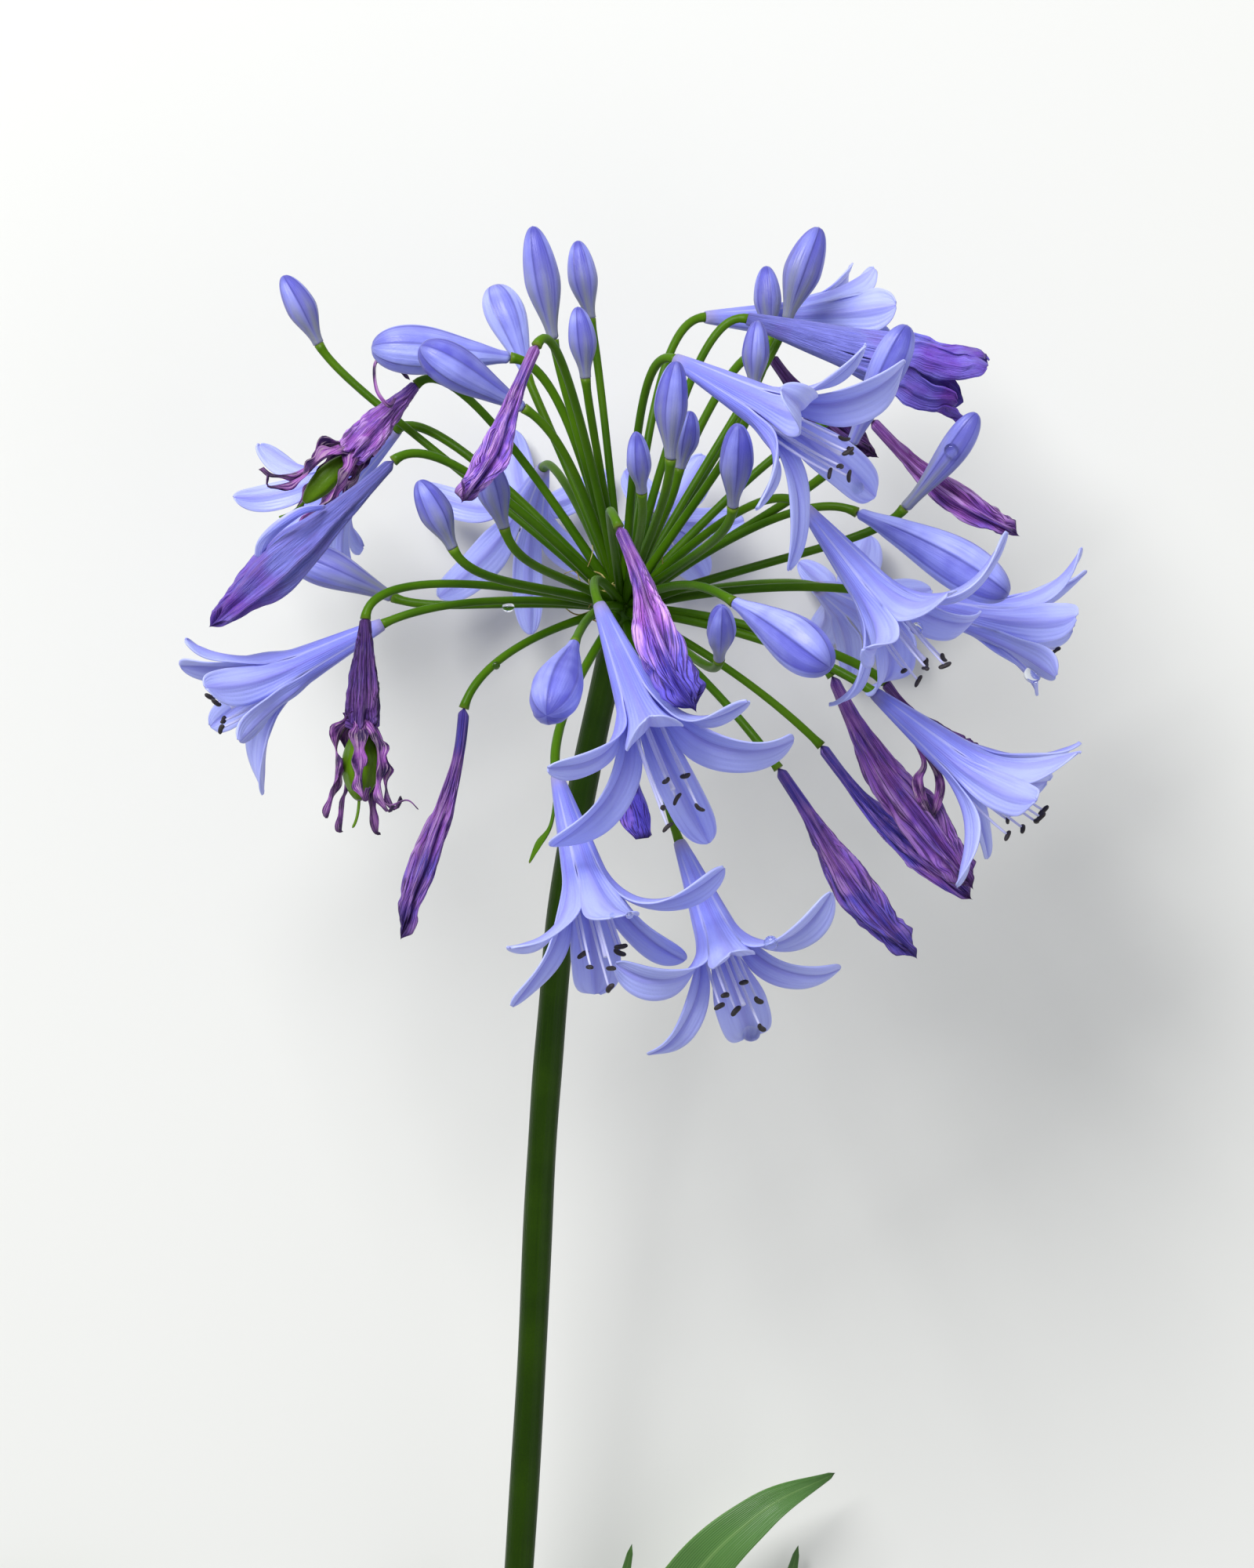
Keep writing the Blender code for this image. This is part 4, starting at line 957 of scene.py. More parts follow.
def weld(shape, distance=0.004 * MM):
    """Joins the points that coincide, so that seams and poles close."""
    bmesh.ops.remove_doubles(shape, verts=shape.verts, dist=distance)


def with_walls(mesh, thickness):
    """The open surface as a closed thin wall: its inner face takes the next material."""
    holder = bpy.data.objects.new("holder", mesh)
    bpy.context.scene.collection.objects.link(holder)
    wall = holder.modifiers.new("Wall", "SOLIDIFY")
    wall.thickness = thickness
    wall.offset = 0
    wall.material_offset = 1
    graph = bpy.context.evaluated_depsgraph_get()
    walled = bpy.data.meshes.new_from_object(holder.evaluated_get(graph))
    bpy.data.objects.remove(holder)
    return walled


def add_piece(name, mesh, finishes, slot, nodes, place=None):
    """A finished piece of the plant, in place of the frame's nodes that it stands for."""
    if place:
        mesh.transform(place)
    for finish in finishes:
        mesh.materials.append(material_named(finish))
    piece = bpy.data.objects.new(name, mesh)
    bpy.context.scene.collection.objects.link(piece)
    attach(piece, BODY)
    if nodes:
        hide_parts(*nodes)


def add_bloom(bloom, mesh, finishes, slot):
    """A finished bloom, in place of the frame's node of its name."""
    add_piece("flower_" + bloom.name, mesh, finishes, slot, [bloom.name], place_of(bloom))


def set_tones(shape, bloom):
    """Writes on a bloom's points its second colour, which changes from foot to end, and its darkness."""
    start, middle, end, shade = TONES.get(bloom.name) or KIND_TONES[bloom.kind]
    layers = shape.verts.layers.float
    for vertex in shape.verts:
        share = vertex.co.z / (bloom.length * MM)
        first, last = smoothstep(share / 0.4), rise(share, 0.5, 0.4)
        vertex[layers["tone"]] = between(between(start, middle, first), end, last)
        vertex[layers["shade"]] = shade


def frames_along(line):
    """Each point of a line with two directions square to its way, which turn as little as they can."""
    frames = []
    side = None
    for number, point in enumerate(line):
        way = line[min(number + 1, len(line) - 1)] - line[max(number - 1, 0)]
        way.normalize()
        side = way.orthogonal() if side is None else side - way * side.dot(way)
        side.normalize()
        frames.append((point, side.copy(), way.cross(side)))
    return frames


def tube(shape, line, radii, sides, material=0, flat=1.0):
    """Adds a closed tube along a line; flat narrows it one way."""
    frames = frames_along(line)
    frames = [frames[0], *frames, frames[-1]]
    radii = [0, *radii, 0]

    def place(across, along):
        number = round(along * (len(frames) - 1))
        point, side, other = frames[number]
        turn = 2 * math.pi * across
        return point + (side * math.cos(turn) + other * math.sin(turn) * flat) * radii[number]

    sheet(shape, sides, len(frames) - 1, place, material)


def blade(shape, frames, half_widths, thickness, columns, lift=None, material=0):
    """Adds a closed thin blade: frames give its middle line, its way across and its upper side."""
    def place(across, along):
        number = round(along * (len(frames) - 1))
        point, side, up = frames[number]
        half = half_widths[number]
        reach = math.cos(2 * math.pi * across)
        thick = min(thickness, half) * 0.5 * math.sin(2 * math.pi * across)
        if number in (0, len(frames) - 1):
            half, thick = 0, 0
        raised = lift(reach, along) * half if lift else 0
        return point + side * half * reach + up * (raised + thick)

    sheet(shape, columns, len(frames) - 1, place, material,
          mapped=lambda across, along: (0.5 + 0.5 * math.cos(2 * math.pi * across), along))


def place_of(bloom):
    """Where a bloom's own frame stands: its +Z along its aim, and its +X towards the sky it grew under."""
    axis = Vector(bloom.aim).normalized()
    side = (GROWS_UP - axis * axis.dot(GROWS_UP)).normalized()
    other = axis.cross(side)
    turn = Matrix((side, other, axis)).transposed() @ Matrix.Rotation(math.radians(bloom.turn), 3, "Z")
    return Matrix.Translation(HEAD_CENTRE + Vector(bloom.seat) * MM) @ turn.to_4x4()


def lobes_of(bloom):
    """The turn of a flower's lobes and their six habits: its row in the table, or else drawn by chance."""
    if bloom.name in LOBES:
        turn, rows = LOBES[bloom.name]
        return turn, [Lobe(*row) for row in rows]
    draw = random.Random(bloom.name)
    lobes = []
    for index in range(TEPALS):
        upper = math.cos(2 * math.pi * index / TEPALS + math.radians(bloom.turn))
        lobes.append(Lobe(
            flare=upper * 10 + draw.uniform(-1, 1) * 6,
            bend=draw.uniform(-1, 1) * 2,
            reach=draw.uniform(0.95, 1.03),
            width=draw.uniform(0.95, 1.08),
            curl=draw.uniform(-5, 30),
            twist=draw.uniform(-14, 14)))
    return 0, lobes


def tepal_profile(bloom, lobe):
    """Radius, height and lean along a tepal's middle line: its lobe flares and then curls at its tip."""
    radius, height = TUBE_FOOT_RADIUS, FOOT_LEVEL
    flare = math.radians(bloom.shape + lobe.flare)
    profile = []
    for number in range(PROFILE_STEPS + 1):
        share = number / PROFILE_STEPS
        lean = between(TUBE_ANGLE, flare, rise(share, FLARE_START, FLARE_END - FLARE_START))
        lean += math.radians(lobe.curl) * rise(share, CURL_START, CURL_REACH)
        profile.append((radius, height, lean))
        step = bloom.length * MM / PROFILE_STEPS * (1 if share < TUBE_SHARE else lobe.reach)
        radius += step * math.sin(lean)
        height += step * math.cos(lean)
    return profile


def profile_at(profile, share):
    """The profile's values at that share of its length."""
    place = share * PROFILE_STEPS
    first = min(int(place), PROFILE_STEPS - 1)
    return [between(low, high, place - first) for low, high in zip(profile[first], profile[first + 1])]


def lobe_half_width(share, tube_edge, widest):
    """Half the width of a free lobe, from the tube's edge at 0 to the blunt tip at 1."""
    if share < WIDEST_SHARE:
        return tube_edge + (widest - tube_edge) * math.sin(share / WIDEST_SHARE * math.pi / 2)
    past = (share - WIDEST_SHARE) / (1 - WIDEST_SHARE)
    return widest * math.sqrt(max(TIP_LEAST, 1 - past ** TIP_POWER))


def room_between(radius, curl, sector):
    """Half the width at which a curled lobe reaches its neighbours, a sector from its middle."""
    return curl * (sector + math.asin(min(1.0, math.sin(sector) * (radius - curl) / curl)))


def tepal_place(bloom, index, lobe, sizes, wave_share):
    """The form of one tepal: its share of the tube, then its lobe with midrib, swelling, wave and twist."""
    draw = random.Random(f"{bloom.name} tepal {index}")
    inner = index % 2 == 0
    phases = (draw.uniform(0, 2 * math.pi), draw.uniform(0, 2 * math.pi))
    profile = tepal_profile(bloom, lobe)
    heading = 2 * math.pi * index / TEPALS
    half_slice = math.pi / TEPALS
    tube_radius = profile_at(profile, TUBE_SHARE)[0]
    widest = (INNER_HALF_WIDTH if inner else OUTER_HALF_WIDTH) * lobe.width
    sector = INNER_HALF_SECTOR if inner else OUTER_HALF_SECTOR
    outwards = around(heading)
    sideways = Vector((-math.sin(heading), math.cos(heading), 0))

    def place(across, along):
        side = 2 * across - 1
        radius, height, lean = profile_at(profile, along)
        if along <= TUBE_SHARE:
            ridge = math.cos(math.pi * side) * TUBE_RIDGE * smoothstep(along / 0.1)
            ridge *= smoothstep((TUBE_SHARE - along) / 0.12)
            return around(heading + side * half_slice) * radius * (1 + ridge) + UP * height
        share = (along - TUBE_SHARE) / (1 - TUBE_SHARE)
        curl = between(tube_radius, LOBE_CURL_RADIUS, smoothstep(2 * share))
        room = room_between(radius, curl, between(half_slice, sector, rise(share, 0.03, 0.35)))
        half = soft_least(room, lobe_half_width(share, tube_radius * half_slice, widest), 1.0 * MM)
        half = between(room, half, smoothstep(share / 0.12))
        free = smoothstep(share / 0.35)
        blunt = 1 - rise(share, 0.82, 0.18)
        lateral = curl * math.sin(side * half / curl)
        lift = curl * (1 - math.cos(side * half / curl))
        rib = sizes.midrib_depth * bell(side, MIDRIB_WIDTH) * free * (0.25 + 0.75 * blunt)
        swell = sizes.petal_swell * math.sin(math.pi * abs(side)) * free * blunt
        ripple = math.sin(2 * math.pi * LOBE_WAVES * share + phases[side > 0])
        wave = wave_share * sizes.petal_wave * abs(side) ** 3 * ripple * free
        lap = 0 if inner else OUTER_LAP * smoothstep(share / 0.25)
        offset = rib - swell + wave + lap - lift
        turned = math.radians(lobe.twist) * share ** 1.5
        lateral, offset = (lateral * math.cos(turned) - offset * math.sin(turned),
                           lateral * math.sin(turned) + offset * math.cos(turned))
        lateral += lobe.bend * MM * share ** 2
        outer_face = outwards * math.cos(lean) - UP * math.sin(lean)
        return outwards * radius + UP * height + sideways * lateral + outer_face * offset

    return place


def tepals_mesh(bloom, sizes, wave=1.0):
    """The six tepals of an open flower as one closed thin wall."""
    shape = new_shape()
    turn, lobes = lobes_of(bloom)
    for index, lobe in enumerate(lobes):
        form = tepal_place(bloom, index, lobe, sizes, wave)
        sheet(shape, TEPAL_COLUMNS, TEPAL_ROWS, lambda across, along: form(across, towards_end(along)),
              mapped=lambda across, along: (across + index, towards_end(along)))
    weld(shape)
    foot = [edge for edge in shape.edges
            if edge.is_boundary and all(vertex.co.z < 2 * FOOT_LEVEL for vertex in edge.verts)]
    bmesh.ops.contextual_create(shape, geom=foot)
    bmesh.ops.rotate(shape, verts=shape.verts, matrix=Matrix.Rotation(math.radians(turn), 3, "Z"))
    set_tones(shape, bloom)
    weld(shape)
    return with_walls(mesh_from(shape, "tepals"), sizes.petal_thickness)


def towards_end(share):
    """A share of a petal's length, with closer steps towards its tip."""
    return 1 - (1 - share) ** TIP_CROWDING


def anther_at(shape, end, turn, sizes):
    """Adds an anther that lies across the end of its filament."""
    half = sizes.anther_length / 2
    way = turn @ UP
    bend = turn @ Vector((ANTHER_BEND, 0, 0))
    steps = [math.cos(math.pi * number / ANTHER_STEPS) for number in range(ANTHER_STEPS + 1)]
    line = [end + way * half * step + bend * step * step for step in steps]
    radii = [sizes.anther_radius * math.sqrt(max(0.0, 1 - step ** 4)) for step in steps]
    tube(shape, line, radii, STAMEN_SIDES, OPEN_FINISHES.index("anther"), ANTHER_FLATNESS)


def stamens_mesh(bloom, sizes):
    """Six curved stamens with their anthers, and the style."""
    reach = bloom.length * MM
    low_side = place_of(bloom).to_3x3().transposed() @ -GROWS_UP
    low_side.z = 0
    finish = OPEN_FINISHES.index("filament")
    thins = [between(1.1, 0.6, number / (STAMEN_ROWS - 1)) for number in range(STAMEN_ROWS)]
    shape = new_shape()
    for index in range(TEPALS):
        draw = random.Random(f"{bloom.name} stamen {index}")
        heading = 2 * math.pi * index / TEPALS
        outwards = around(heading)
        root = outwards * STAMEN_ROOT.x + UP * STAMEN_ROOT.y
        spread = draw.uniform(*STAMEN_SPREAD) * MM
        end = outwards * spread + low_side * STAMEN_DROOP + UP * draw.uniform(*STAMEN_REACH) * reach
        middle = between(root, end, 0.6) + low_side * STAMEN_SAG * MM
        line = arc_line(root, middle, end, STAMEN_ROWS)
        tube(shape, line, [sizes.filament_radius * thin for thin in thins], STAMEN_SIDES, finish)
        roll = Matrix.Rotation(heading + draw.uniform(0.3, 1.9), 3, "Z")
        tilt = Matrix.Rotation(draw.uniform(1.0, 1.5), 3, "X")
        anther_at(shape, end, roll @ tilt, sizes)
    middle = UP * 0.45 * reach + low_side * 1.2 * MM
    tip = UP * STYLE_REACH * reach + low_side * 1.0 * MM
    line = arc_line(UP * 3 * FOOT_LEVEL, middle, tip, STYLE_ROWS)
    radii = [sizes.filament_radius * 0.9] * (STYLE_ROWS - 1) + [sizes.filament_radius * 1.3]
    tube(shape, line, radii, STAMEN_SIDES, finish)
    return closed_mesh(shape, "stamens")


def open_flower(bloom, sizes):
    """An open flower: its tepals and stamens as one piece."""
    shape = bmesh.new()
    shape.from_mesh(tepals_mesh(bloom, sizes))
    shape.from_mesh(stamens_mesh(bloom, sizes))
    add_bloom(bloom, mesh_from(shape, bloom.name), OPEN_FINISHES, "petal")


def wilting_flower(bloom, sizes):
    """A flower that is half closed: its lobes still apart, but folded and crumpled towards their ends."""
    mesh = tepals_mesh(bloom._replace(shape=WILTING_FLARE), sizes, wave=WILTING_WAVE)
    noise.seed_set(WILTING_SEED)
    reach = bloom.length * MM
    for vertex in mesh.vertices:
        worn = smoothstep((vertex.co.z / reach - 0.50) / 0.35)
        fold = noise.noise_vector(vertex.co * 120) * 2.0 + noise.noise_vector(vertex.co * 420) * 0.6
        vertex.co += fold * MM * worn
    add_bloom(bloom, mesh, ["closing_skin", "faded_skin"], "petal")


def spaced(share):
    """A share of a closed shape's length, with more steps near both ends."""
    return between(share, (1 - math.cos(math.pi * share)) / 2, 0.6)


def spot_on(across, along):
    """The heading round a closed shape and the share of its length, for a point of its sheet."""
    return 2 * math.pi * across, spaced(along)


def tepal_map(across, along):
    """The map of a closed shape: one step across it for each of its six tepals."""
    return across * TEPALS, spaced(along)


def bud(bloom):
    """A closed bud: a narrow tube that swells to six lapped tepals and ends in a blunt point."""
    reach, girth = bloom.length * MM, bloom.shape * MM
    draw = random.Random(bloom.name + " bud")
    bow = draw.uniform(-0.035, 0.035) * reach
    flat = draw.uniform(0.0, 0.05)
    columns, rows, lap, widest, bluntness = BUD_HABITS[bloom.kind]

    def place(across, along):
        turn, share = spot_on(across, along)
        neck = between(TUBE_FOOT_RADIUS, 0.38 * girth, smoothstep(share / 0.26))
        swell = 0.62 * girth * smoothstep((share - 0.06) / (widest - 0.04))
        tip = math.sqrt(max(0.0, 1 - max(0.0, (share - widest) / (1 - widest)) ** bluntness))
        wave = math.sin(TEPALS * turn / 2)
        lapped = math.tanh(5 * wave) * lap
        keel = BUD_KEEL * bell(math.cos(TEPALS * turn / 2), 0.30) * (1 if wave > 0 else 0.5)
        ridges = 1 + (lapped + keel) * smoothstep(share * 2.5) + flat * math.cos(2 * turn)
        radius = (neck + swell) * tip * ridges * smoothstep(share / 0.04)
        side = bow * math.sin(math.pi * share)
        return Vector((radius * math.cos(turn) + side, radius * math.sin(turn), share * reach))

    shape = new_shape()
    sheet(shape, columns, rows, place, mapped=tepal_map)
    set_tones(shape, bloom)
    add_bloom(bloom, closed_mesh(shape, bloom.name), ["bud_skin"], "bud")


def wrinkle_height(bloom, seed):
    """The height of a faded flower's wrinkles by heading and share: about -1 in a crease and 1 on a ridge."""
    draw = random.Random(bloom.name + " wrinkles")
    phases = [draw.uniform(0, 2 * math.pi) for _ in range(3)]

    def height(turn, share):
        warp = smooth_noise(seed, turn, share, 1.3, 4.5)
        total = 0
        for count, phase, weight in zip(WRINKLE_COUNTS, phases, WRINKLE_WEIGHTS):
            ridge = abs(math.sin(0.5 * count * turn + 1.7 * count * 0.25 * warp + phase))
            total += weight * (2 * ridge - 1.27)
        return total / 1.6 + 0.6 * smooth_noise(seed * 2, turn, share, 3.5, 14)

    return height


def faded_flower(bloom, sizes):
    """A flower that is closing or has collapsed: folded, wrinkled, bent, with its lobes pressed together."""
    draw = random.Random(bloom.name)
    folds, bow, end, worn, slim, slot, skin = FADED_HABITS[bloom.kind]
    reach, girth = bloom.length * MM, bloom.shape * MM * slim
    twist = draw.uniform(0.3, 0.9)
    phase = draw.uniform(0, 2 * math.pi)
    lobe_ends = [draw.uniform(-5.0, 0.0) * MM for _ in range(TEPALS)]
    seed = Vector((draw.uniform(0, 90), draw.uniform(0, 90), 0))
    wrinkle = wrinkle_height(bloom, seed)
    sideways = draw.uniform(-1.2, 1.2) * MM * worn

    def fold_turn(turn, share):
        return TEPALS * (turn + twist * share + 0.20 * smooth_noise(seed, turn, share, 1.0, 3.0)) + phase

    def place(across, along):
        turn, share = spot_on(across, along)
        neck = between(TUBE_FOOT_RADIUS, 0.38 * girth, smoothstep(share / 0.25))
        swell = (0.62 - 0.04 * worn) * girth * rise(share, 0.16, 0.5)
        taper = 1 - (1 - end) * rise(share, 0.62, 0.38)
        fold = math.cos(fold_turn(turn, share))
        depth = folds * smoothstep(share * 2.2) + 0.30 * rise(share, 0.50, 0.35) * worn
        flat = 1 + 0.20 * worn * math.cos(2 * turn + phase + 2 * share) * smoothstep(share * 2)
        closed = smoothstep(share / 0.04) * smoothstep((1 - share) / 0.04)
        dent = 1 + 0.26 * worn * smooth_noise(seed, turn, share, 1.1, 5.0) * smoothstep(share * 3)
        dent += 0.34 * worn * smooth_noise(seed, turn, share, 2.2, 15.0) * rise(share, 0.74, 0.2)
        radius = (neck + swell) * taper * (1 + depth * (fold - 0.60)) * flat * dent
        radius += sizes.wrinkle_depth * worn * wrinkle(turn, share) * smoothstep((share - 0.12) * 4)
        radius = max(radius, 0.3 * MM) * closed
        lobe = lobe_ends[int(fold_turn(turn, share) / (2 * math.pi) + 0.5) % TEPALS]
        ragged = lobe * (0.5 + 0.5 * fold) * rise(share, 0.70, 0.3)
        sway = bow * math.sin(math.pi * share)
        bend = sideways * math.sin(2 * math.pi * share)
        height = share * reach + ragged
        return Vector((radius * math.cos(turn) - sway, radius * math.sin(turn) + bend, height))

    # The wrinkle height on each point, from which the finish paints highlights on the ridges and shade in the
    # creases
    def crease(across, along):
        turn, share = spot_on(across, along)
        return 0.55 + 0.26 * wrinkle(turn, share) + 0.18 * math.cos(fold_turn(turn, share))

    shape = new_shape()
    sheet(shape, FADED_COLUMNS, FADED_ROWS, place, mapped=tepal_map, crease=crease)
    set_tones(shape, bloom)
    add_bloom(bloom, closed_mesh(shape, bloom.name), [skin], slot)


def ribbon(shape, bloom, index, start, reach):
    """A dried lobe: a narrow blade that bows round the seed pod, twists and curls at its end."""
    draw = random.Random(f"{bloom.name} ribbon {index}")
    heading = 2 * math.pi * (index + 0.5 * draw.random()) / TEPALS
    bow = draw.uniform(4.2, 6.0) * MM
    curl = draw.uniform(0.0, 8.0) * MM
    long_share = draw.uniform(0.8, 1.05)
    twist = draw.uniform(-2.6, 2.6)
    swing = draw.uniform(-0.6, 0.6)
    hook = draw.uniform(0.0, 0.25)
    shares = [number / RIBBON_ROWS for number in range(RIBBON_ROWS + 1)]
    line = []
    for share in shares:
        radius = RIBBON_ROOT + (bow - RIBBON_ROOT) * smoothstep(share / 0.35)
        radius += curl * (max(0.0, share - 0.5) / 0.5) ** 2
        way_up = share * long_share - hook * rise(share, 0.85, 0.15) ** 2
        line.append(around(heading + swing * share ** 2, radius, start + (reach - start) * way_up))
    frames = []
    for share, (point, side, other) in zip(shares, frames_along(line)):
        angle = heading + twist * share ** 2
        across = Vector((-math.sin(angle), math.cos(angle), 0))
        way = side.cross(other)
        across = (across - way * across.dot(way)).normalized()
        frames.append((point, across, way.cross(across)))
    halves = [between(1.9, 0.5, share ** 1.5) * MM * (1 + 0.3 * math.sin(number * 0.7 + heading))
              for number, share in enumerate(shares)]
    blade(shape, frames, halves, RIBBON_THICKNESS, RIBBON_COLUMNS, material=1,
          lift=lambda side, along: 1.3 * side ** 2 * math.cos(9 * along + heading))


def podded_flower(bloom, sizes):
    """A dried flower split into ribbons round the green seed pod, and the pod itself."""
    reach, girth = bloom.length * MM, bloom.shape * MM
    tube_end = 0.50 * reach
    pod_foot = tube_end + CLEARANCE
    seed = Vector((random.Random(bloom.name).uniform(0, 90), 0, 0))
    wrinkle = wrinkle_height(bloom, seed)

    def tube_place(across, along):
        turn, share = spot_on(across, along)
        swell = between(TUBE_FOOT_RADIUS, girth * 0.9, smoothstep(share / 0.8))
        folded = 1 + 0.14 * math.cos(TEPALS * turn) * smoothstep(share * 2)
        closed = smoothstep(share / 0.04) * smoothstep((1 - share) / 0.05)
        creased = sizes.wrinkle_depth * wrinkle(turn, share) * smoothstep(share * 4)
        ragged = 3.0 * MM * smooth_noise(seed, turn, 0, 2.5, 1) * rise(share, 0.6, 0.4)
        return around(turn, (swell * folded + creased) * closed, share * tube_end + ragged)

    def pod_place(across, along):
        turn, share = spot_on(across, along)
        radius = POD_RADIUS[bloom.name] * math.sin(math.pi * min(1.0, share * 0.96 + 0.04)) ** 0.6
        seams = 1 + 0.14 * math.cos(3 * turn) - 0.08 * bell(math.sin(1.5 * turn), 0.2)
        radius *= seams * smoothstep((1 - share) / 0.02)
        height = pod_foot + share * 0.32 * reach
        return Vector((radius * math.cos(turn) * smoothstep(share / 0.02), radius * math.sin(turn), height))

    shape = new_shape()
    # The tube's wrinkle height goes to its finish, which paints highlights on the ridges and shade in the
    # creases
    sheet(shape, 96, 48, tube_place, mapped=lambda across, along: (across * TEPALS, along * 0.8),
          crease=lambda across, along: 0.55 + 0.35 * wrinkle(*spot_on(across, along)))
    for index in range(TEPALS):
        ribbon(shape, bloom, index, tube_end - 4 * MM, reach)
    set_tones(shape, bloom)
    add_bloom(bloom, closed_mesh(shape, bloom.name), ["faded_skin", "dry_ribbon"], "faded")
    pod = bloom.name.replace("podded", "pod")
    shape = new_shape()
    sheet(shape, 36, 28, pod_place)
    style_foot = UP * (pod_foot + 0.315 * reach)
    style_end = style_foot + Vector((1.5, 1.0, 6.0)) * MM
    line = arc_line(style_foot, style_foot + UP * 4 * MM, style_end, 10)
    tube(shape, line, [0.35 * MM] * 9 + [0.15 * MM], 6)
    add_piece("seed_" + pod, closed_mesh(shape, pod), ["pod_skin"], "pod", [pod], place_of(bloom))


def stalk_line(bloom, count):
    """The middle line of a flower's stalk, from inside the dome to just inside the flower's foot."""
    axis = Vector(bloom.aim).normalized()
    seat = Vector(bloom.seat) * MM
    end = seat + axis * STALK_LAP
    before = seat - axis * STALK_BEND
    early = before * STALK_STRAIGHT_SHARE + Vector((0, 1, 0.3)) * STALK_ARCH
    start = early.normalized() * 0.45 * DOME_RADIUS
    line = []
    for step in range(count):
        t = step / (count - 1)
        line.append(HEAD_CENTRE + start * (1 - t) ** 3 + early * 3 * t * (1 - t) ** 2
                    + before * 3 * t ** 2 * (1 - t) + end * t ** 3)
    return line


def stem_points(count):
    """The stem's middle line, from just under the dome down into the foot."""
    points = [HEAD_CENTRE + Vector(point) * MM for point in STEM_LINE]
    down = (points[1] - HEAD_CENTRE).normalized()
    points[0] = HEAD_CENTRE + down * (DOME_RADIUS + CLEARANCE)
    return smooth_line(points, count)


class AGAPANTHUS_OT_open_flowers(Operator):
    """Adds the open flowers with their stamens"""
    bl_idname = "agapanthus.open_flowers"
    bl_label = "Open flowers"

    def execute(self, context):
        for bloom in blooms_of("open"):
            open_flower(bloom, context.scene.agapanthus_sizes)
        return {"FINISHED"}


class AGAPANTHUS_OT_buds(Operator):
    """Adds the closed buds"""
    bl_idname = "agapanthus.buds"
    bl_label = "Buds"

    def execute(self, context):
        for bloom in blooms_of("bud", "small_bud"):
            bud(bloom)
        return {"FINISHED"}


class AGAPANTHUS_OT_faded_flowers(Operator):
    """Adds the closing and faded flowers"""
    bl_idname = "agapanthus.faded_flowers"
    bl_label = "Faded flowers"

    def execute(self, context):
        for bloom in blooms_of("closing", "faded"):
            faded_flower(bloom, context.scene.agapanthus_sizes)
        for bloom in blooms_of("wilting"):
            wilting_flower(bloom, context.scene.agapanthus_sizes)
        return {"FINISHED"}


class AGAPANTHUS_OT_seed_pods(Operator):
    """Adds the dried flowers with their seed pods"""
    bl_idname = "agapanthus.seed_pods"
    bl_label = "Seed pods"

    def execute(self, context):
        for bloom in blooms_of("podded"):
            podded_flower(bloom, context.scene.agapanthus_sizes)
        return {"FINISHED"}


class AGAPANTHUS_OT_flower_stalks(Operator):
    """Adds the dome and the flower stalks"""
    bl_idname = "agapanthus.flower_stalks"
    bl_label = "Flower stalks"

    def execute(self, context):
        radius = context.scene.agapanthus_sizes.stalk_radius
        shares = [step / (STALK_ROWS - 1) for step in range(STALK_ROWS)]
        shape = new_shape()

        def dome_place(across, along):
            turn, tilt = 2 * math.pi * across, math.pi * along
            bulge = 1 + 0.06 * noise.noise(around(turn, 1, 3 * along) * 2)
            return HEAD_CENTRE + DOME_RADIUS * bulge * around(turn, math.sin(tilt), math.cos(tilt))

        sheet(shape, 32, 20, dome_place, mapped=lambda across, along: (across, 0.3))
        for bloom in BLOOMS:
            draw = random.Random(bloom.name + " stalk")
            girth = radius * draw.uniform(0.94, 1.06)
            radii = []
            for share in shares:
                swell = 0.28 * bell(share - 1, 0.05) + 0.25 * bell(share, 0.10)
                radii.append(girth * (1 + swell + 0.03 * math.sin(9 * share + draw.random())))
            tube(shape, stalk_line(bloom, STALK_ROWS), radii, STALK_SIDES)
        add_piece("stalks", closed_mesh(shape, "stalks"), ["stalk_skin"], "stalk", ["flower_stalks"])
        return {"FINISHED"}


class AGAPANTHUS_OT_stem(Operator):
    """Adds the tall stem"""
    bl_idname = "agapanthus.stem"
    bl_label = "Stem"

    def execute(self, context):
        shape = new_shape()
        radii = []
        for number in range(STEM_ROWS):
            radius = between(STEM_TOP_RADIUS, STEM_FOOT_RADIUS, number / (STEM_ROWS - 1))
            radii.append(radius * (1 + 0.018 * math.sin(number * 0.55) + 0.10 * bell(number, 3.0)))
        tube(shape, stem_points(STEM_ROWS), radii, STEM_SIDES, flat=0.95)
        add_piece("tall_stem", closed_mesh(shape, "tall_stem"), ["stem_skin"], "stalk", ["stem"])
        return {"FINISHED"}


class AGAPANTHUS_OT_leaves(Operator):
    """Adds the strap leaves"""
    bl_idname = "agapanthus.leaves"
    bl_label = "Leaves"

    def execute(self, context):
        for name, (points, half_widths) in LEAVES.items():
            line = smooth_line([Vector(point) * MM for point in points], LEAF_ROWS)
            widths = smooth_values([width * MM for width in half_widths], LEAF_ROWS)
            frames = []
            for point, side, other in frames_along(line):
                way = side.cross(other)
                across = way.cross(UP).normalized()
                frames.append((point, across, across.cross(way)))
            shape = new_shape()
            phase = random.Random(name).uniform(0, 6)
            blade(shape, frames, [max(width, 0.2 * MM) for width in widths],
                  context.scene.agapanthus_sizes.leaf_thickness, LEAF_COLUMNS,
                  lift=lambda side, along: LEAF_CHANNEL * abs(side) ** 1.4
                  + 0.05 * abs(side) ** 3 * math.sin(14 * along + phase + side))
            add_piece("blade_" + name, closed_mesh(shape, name), ["leaf_skin"], "leaf", [name])
        return {"FINISHED"}


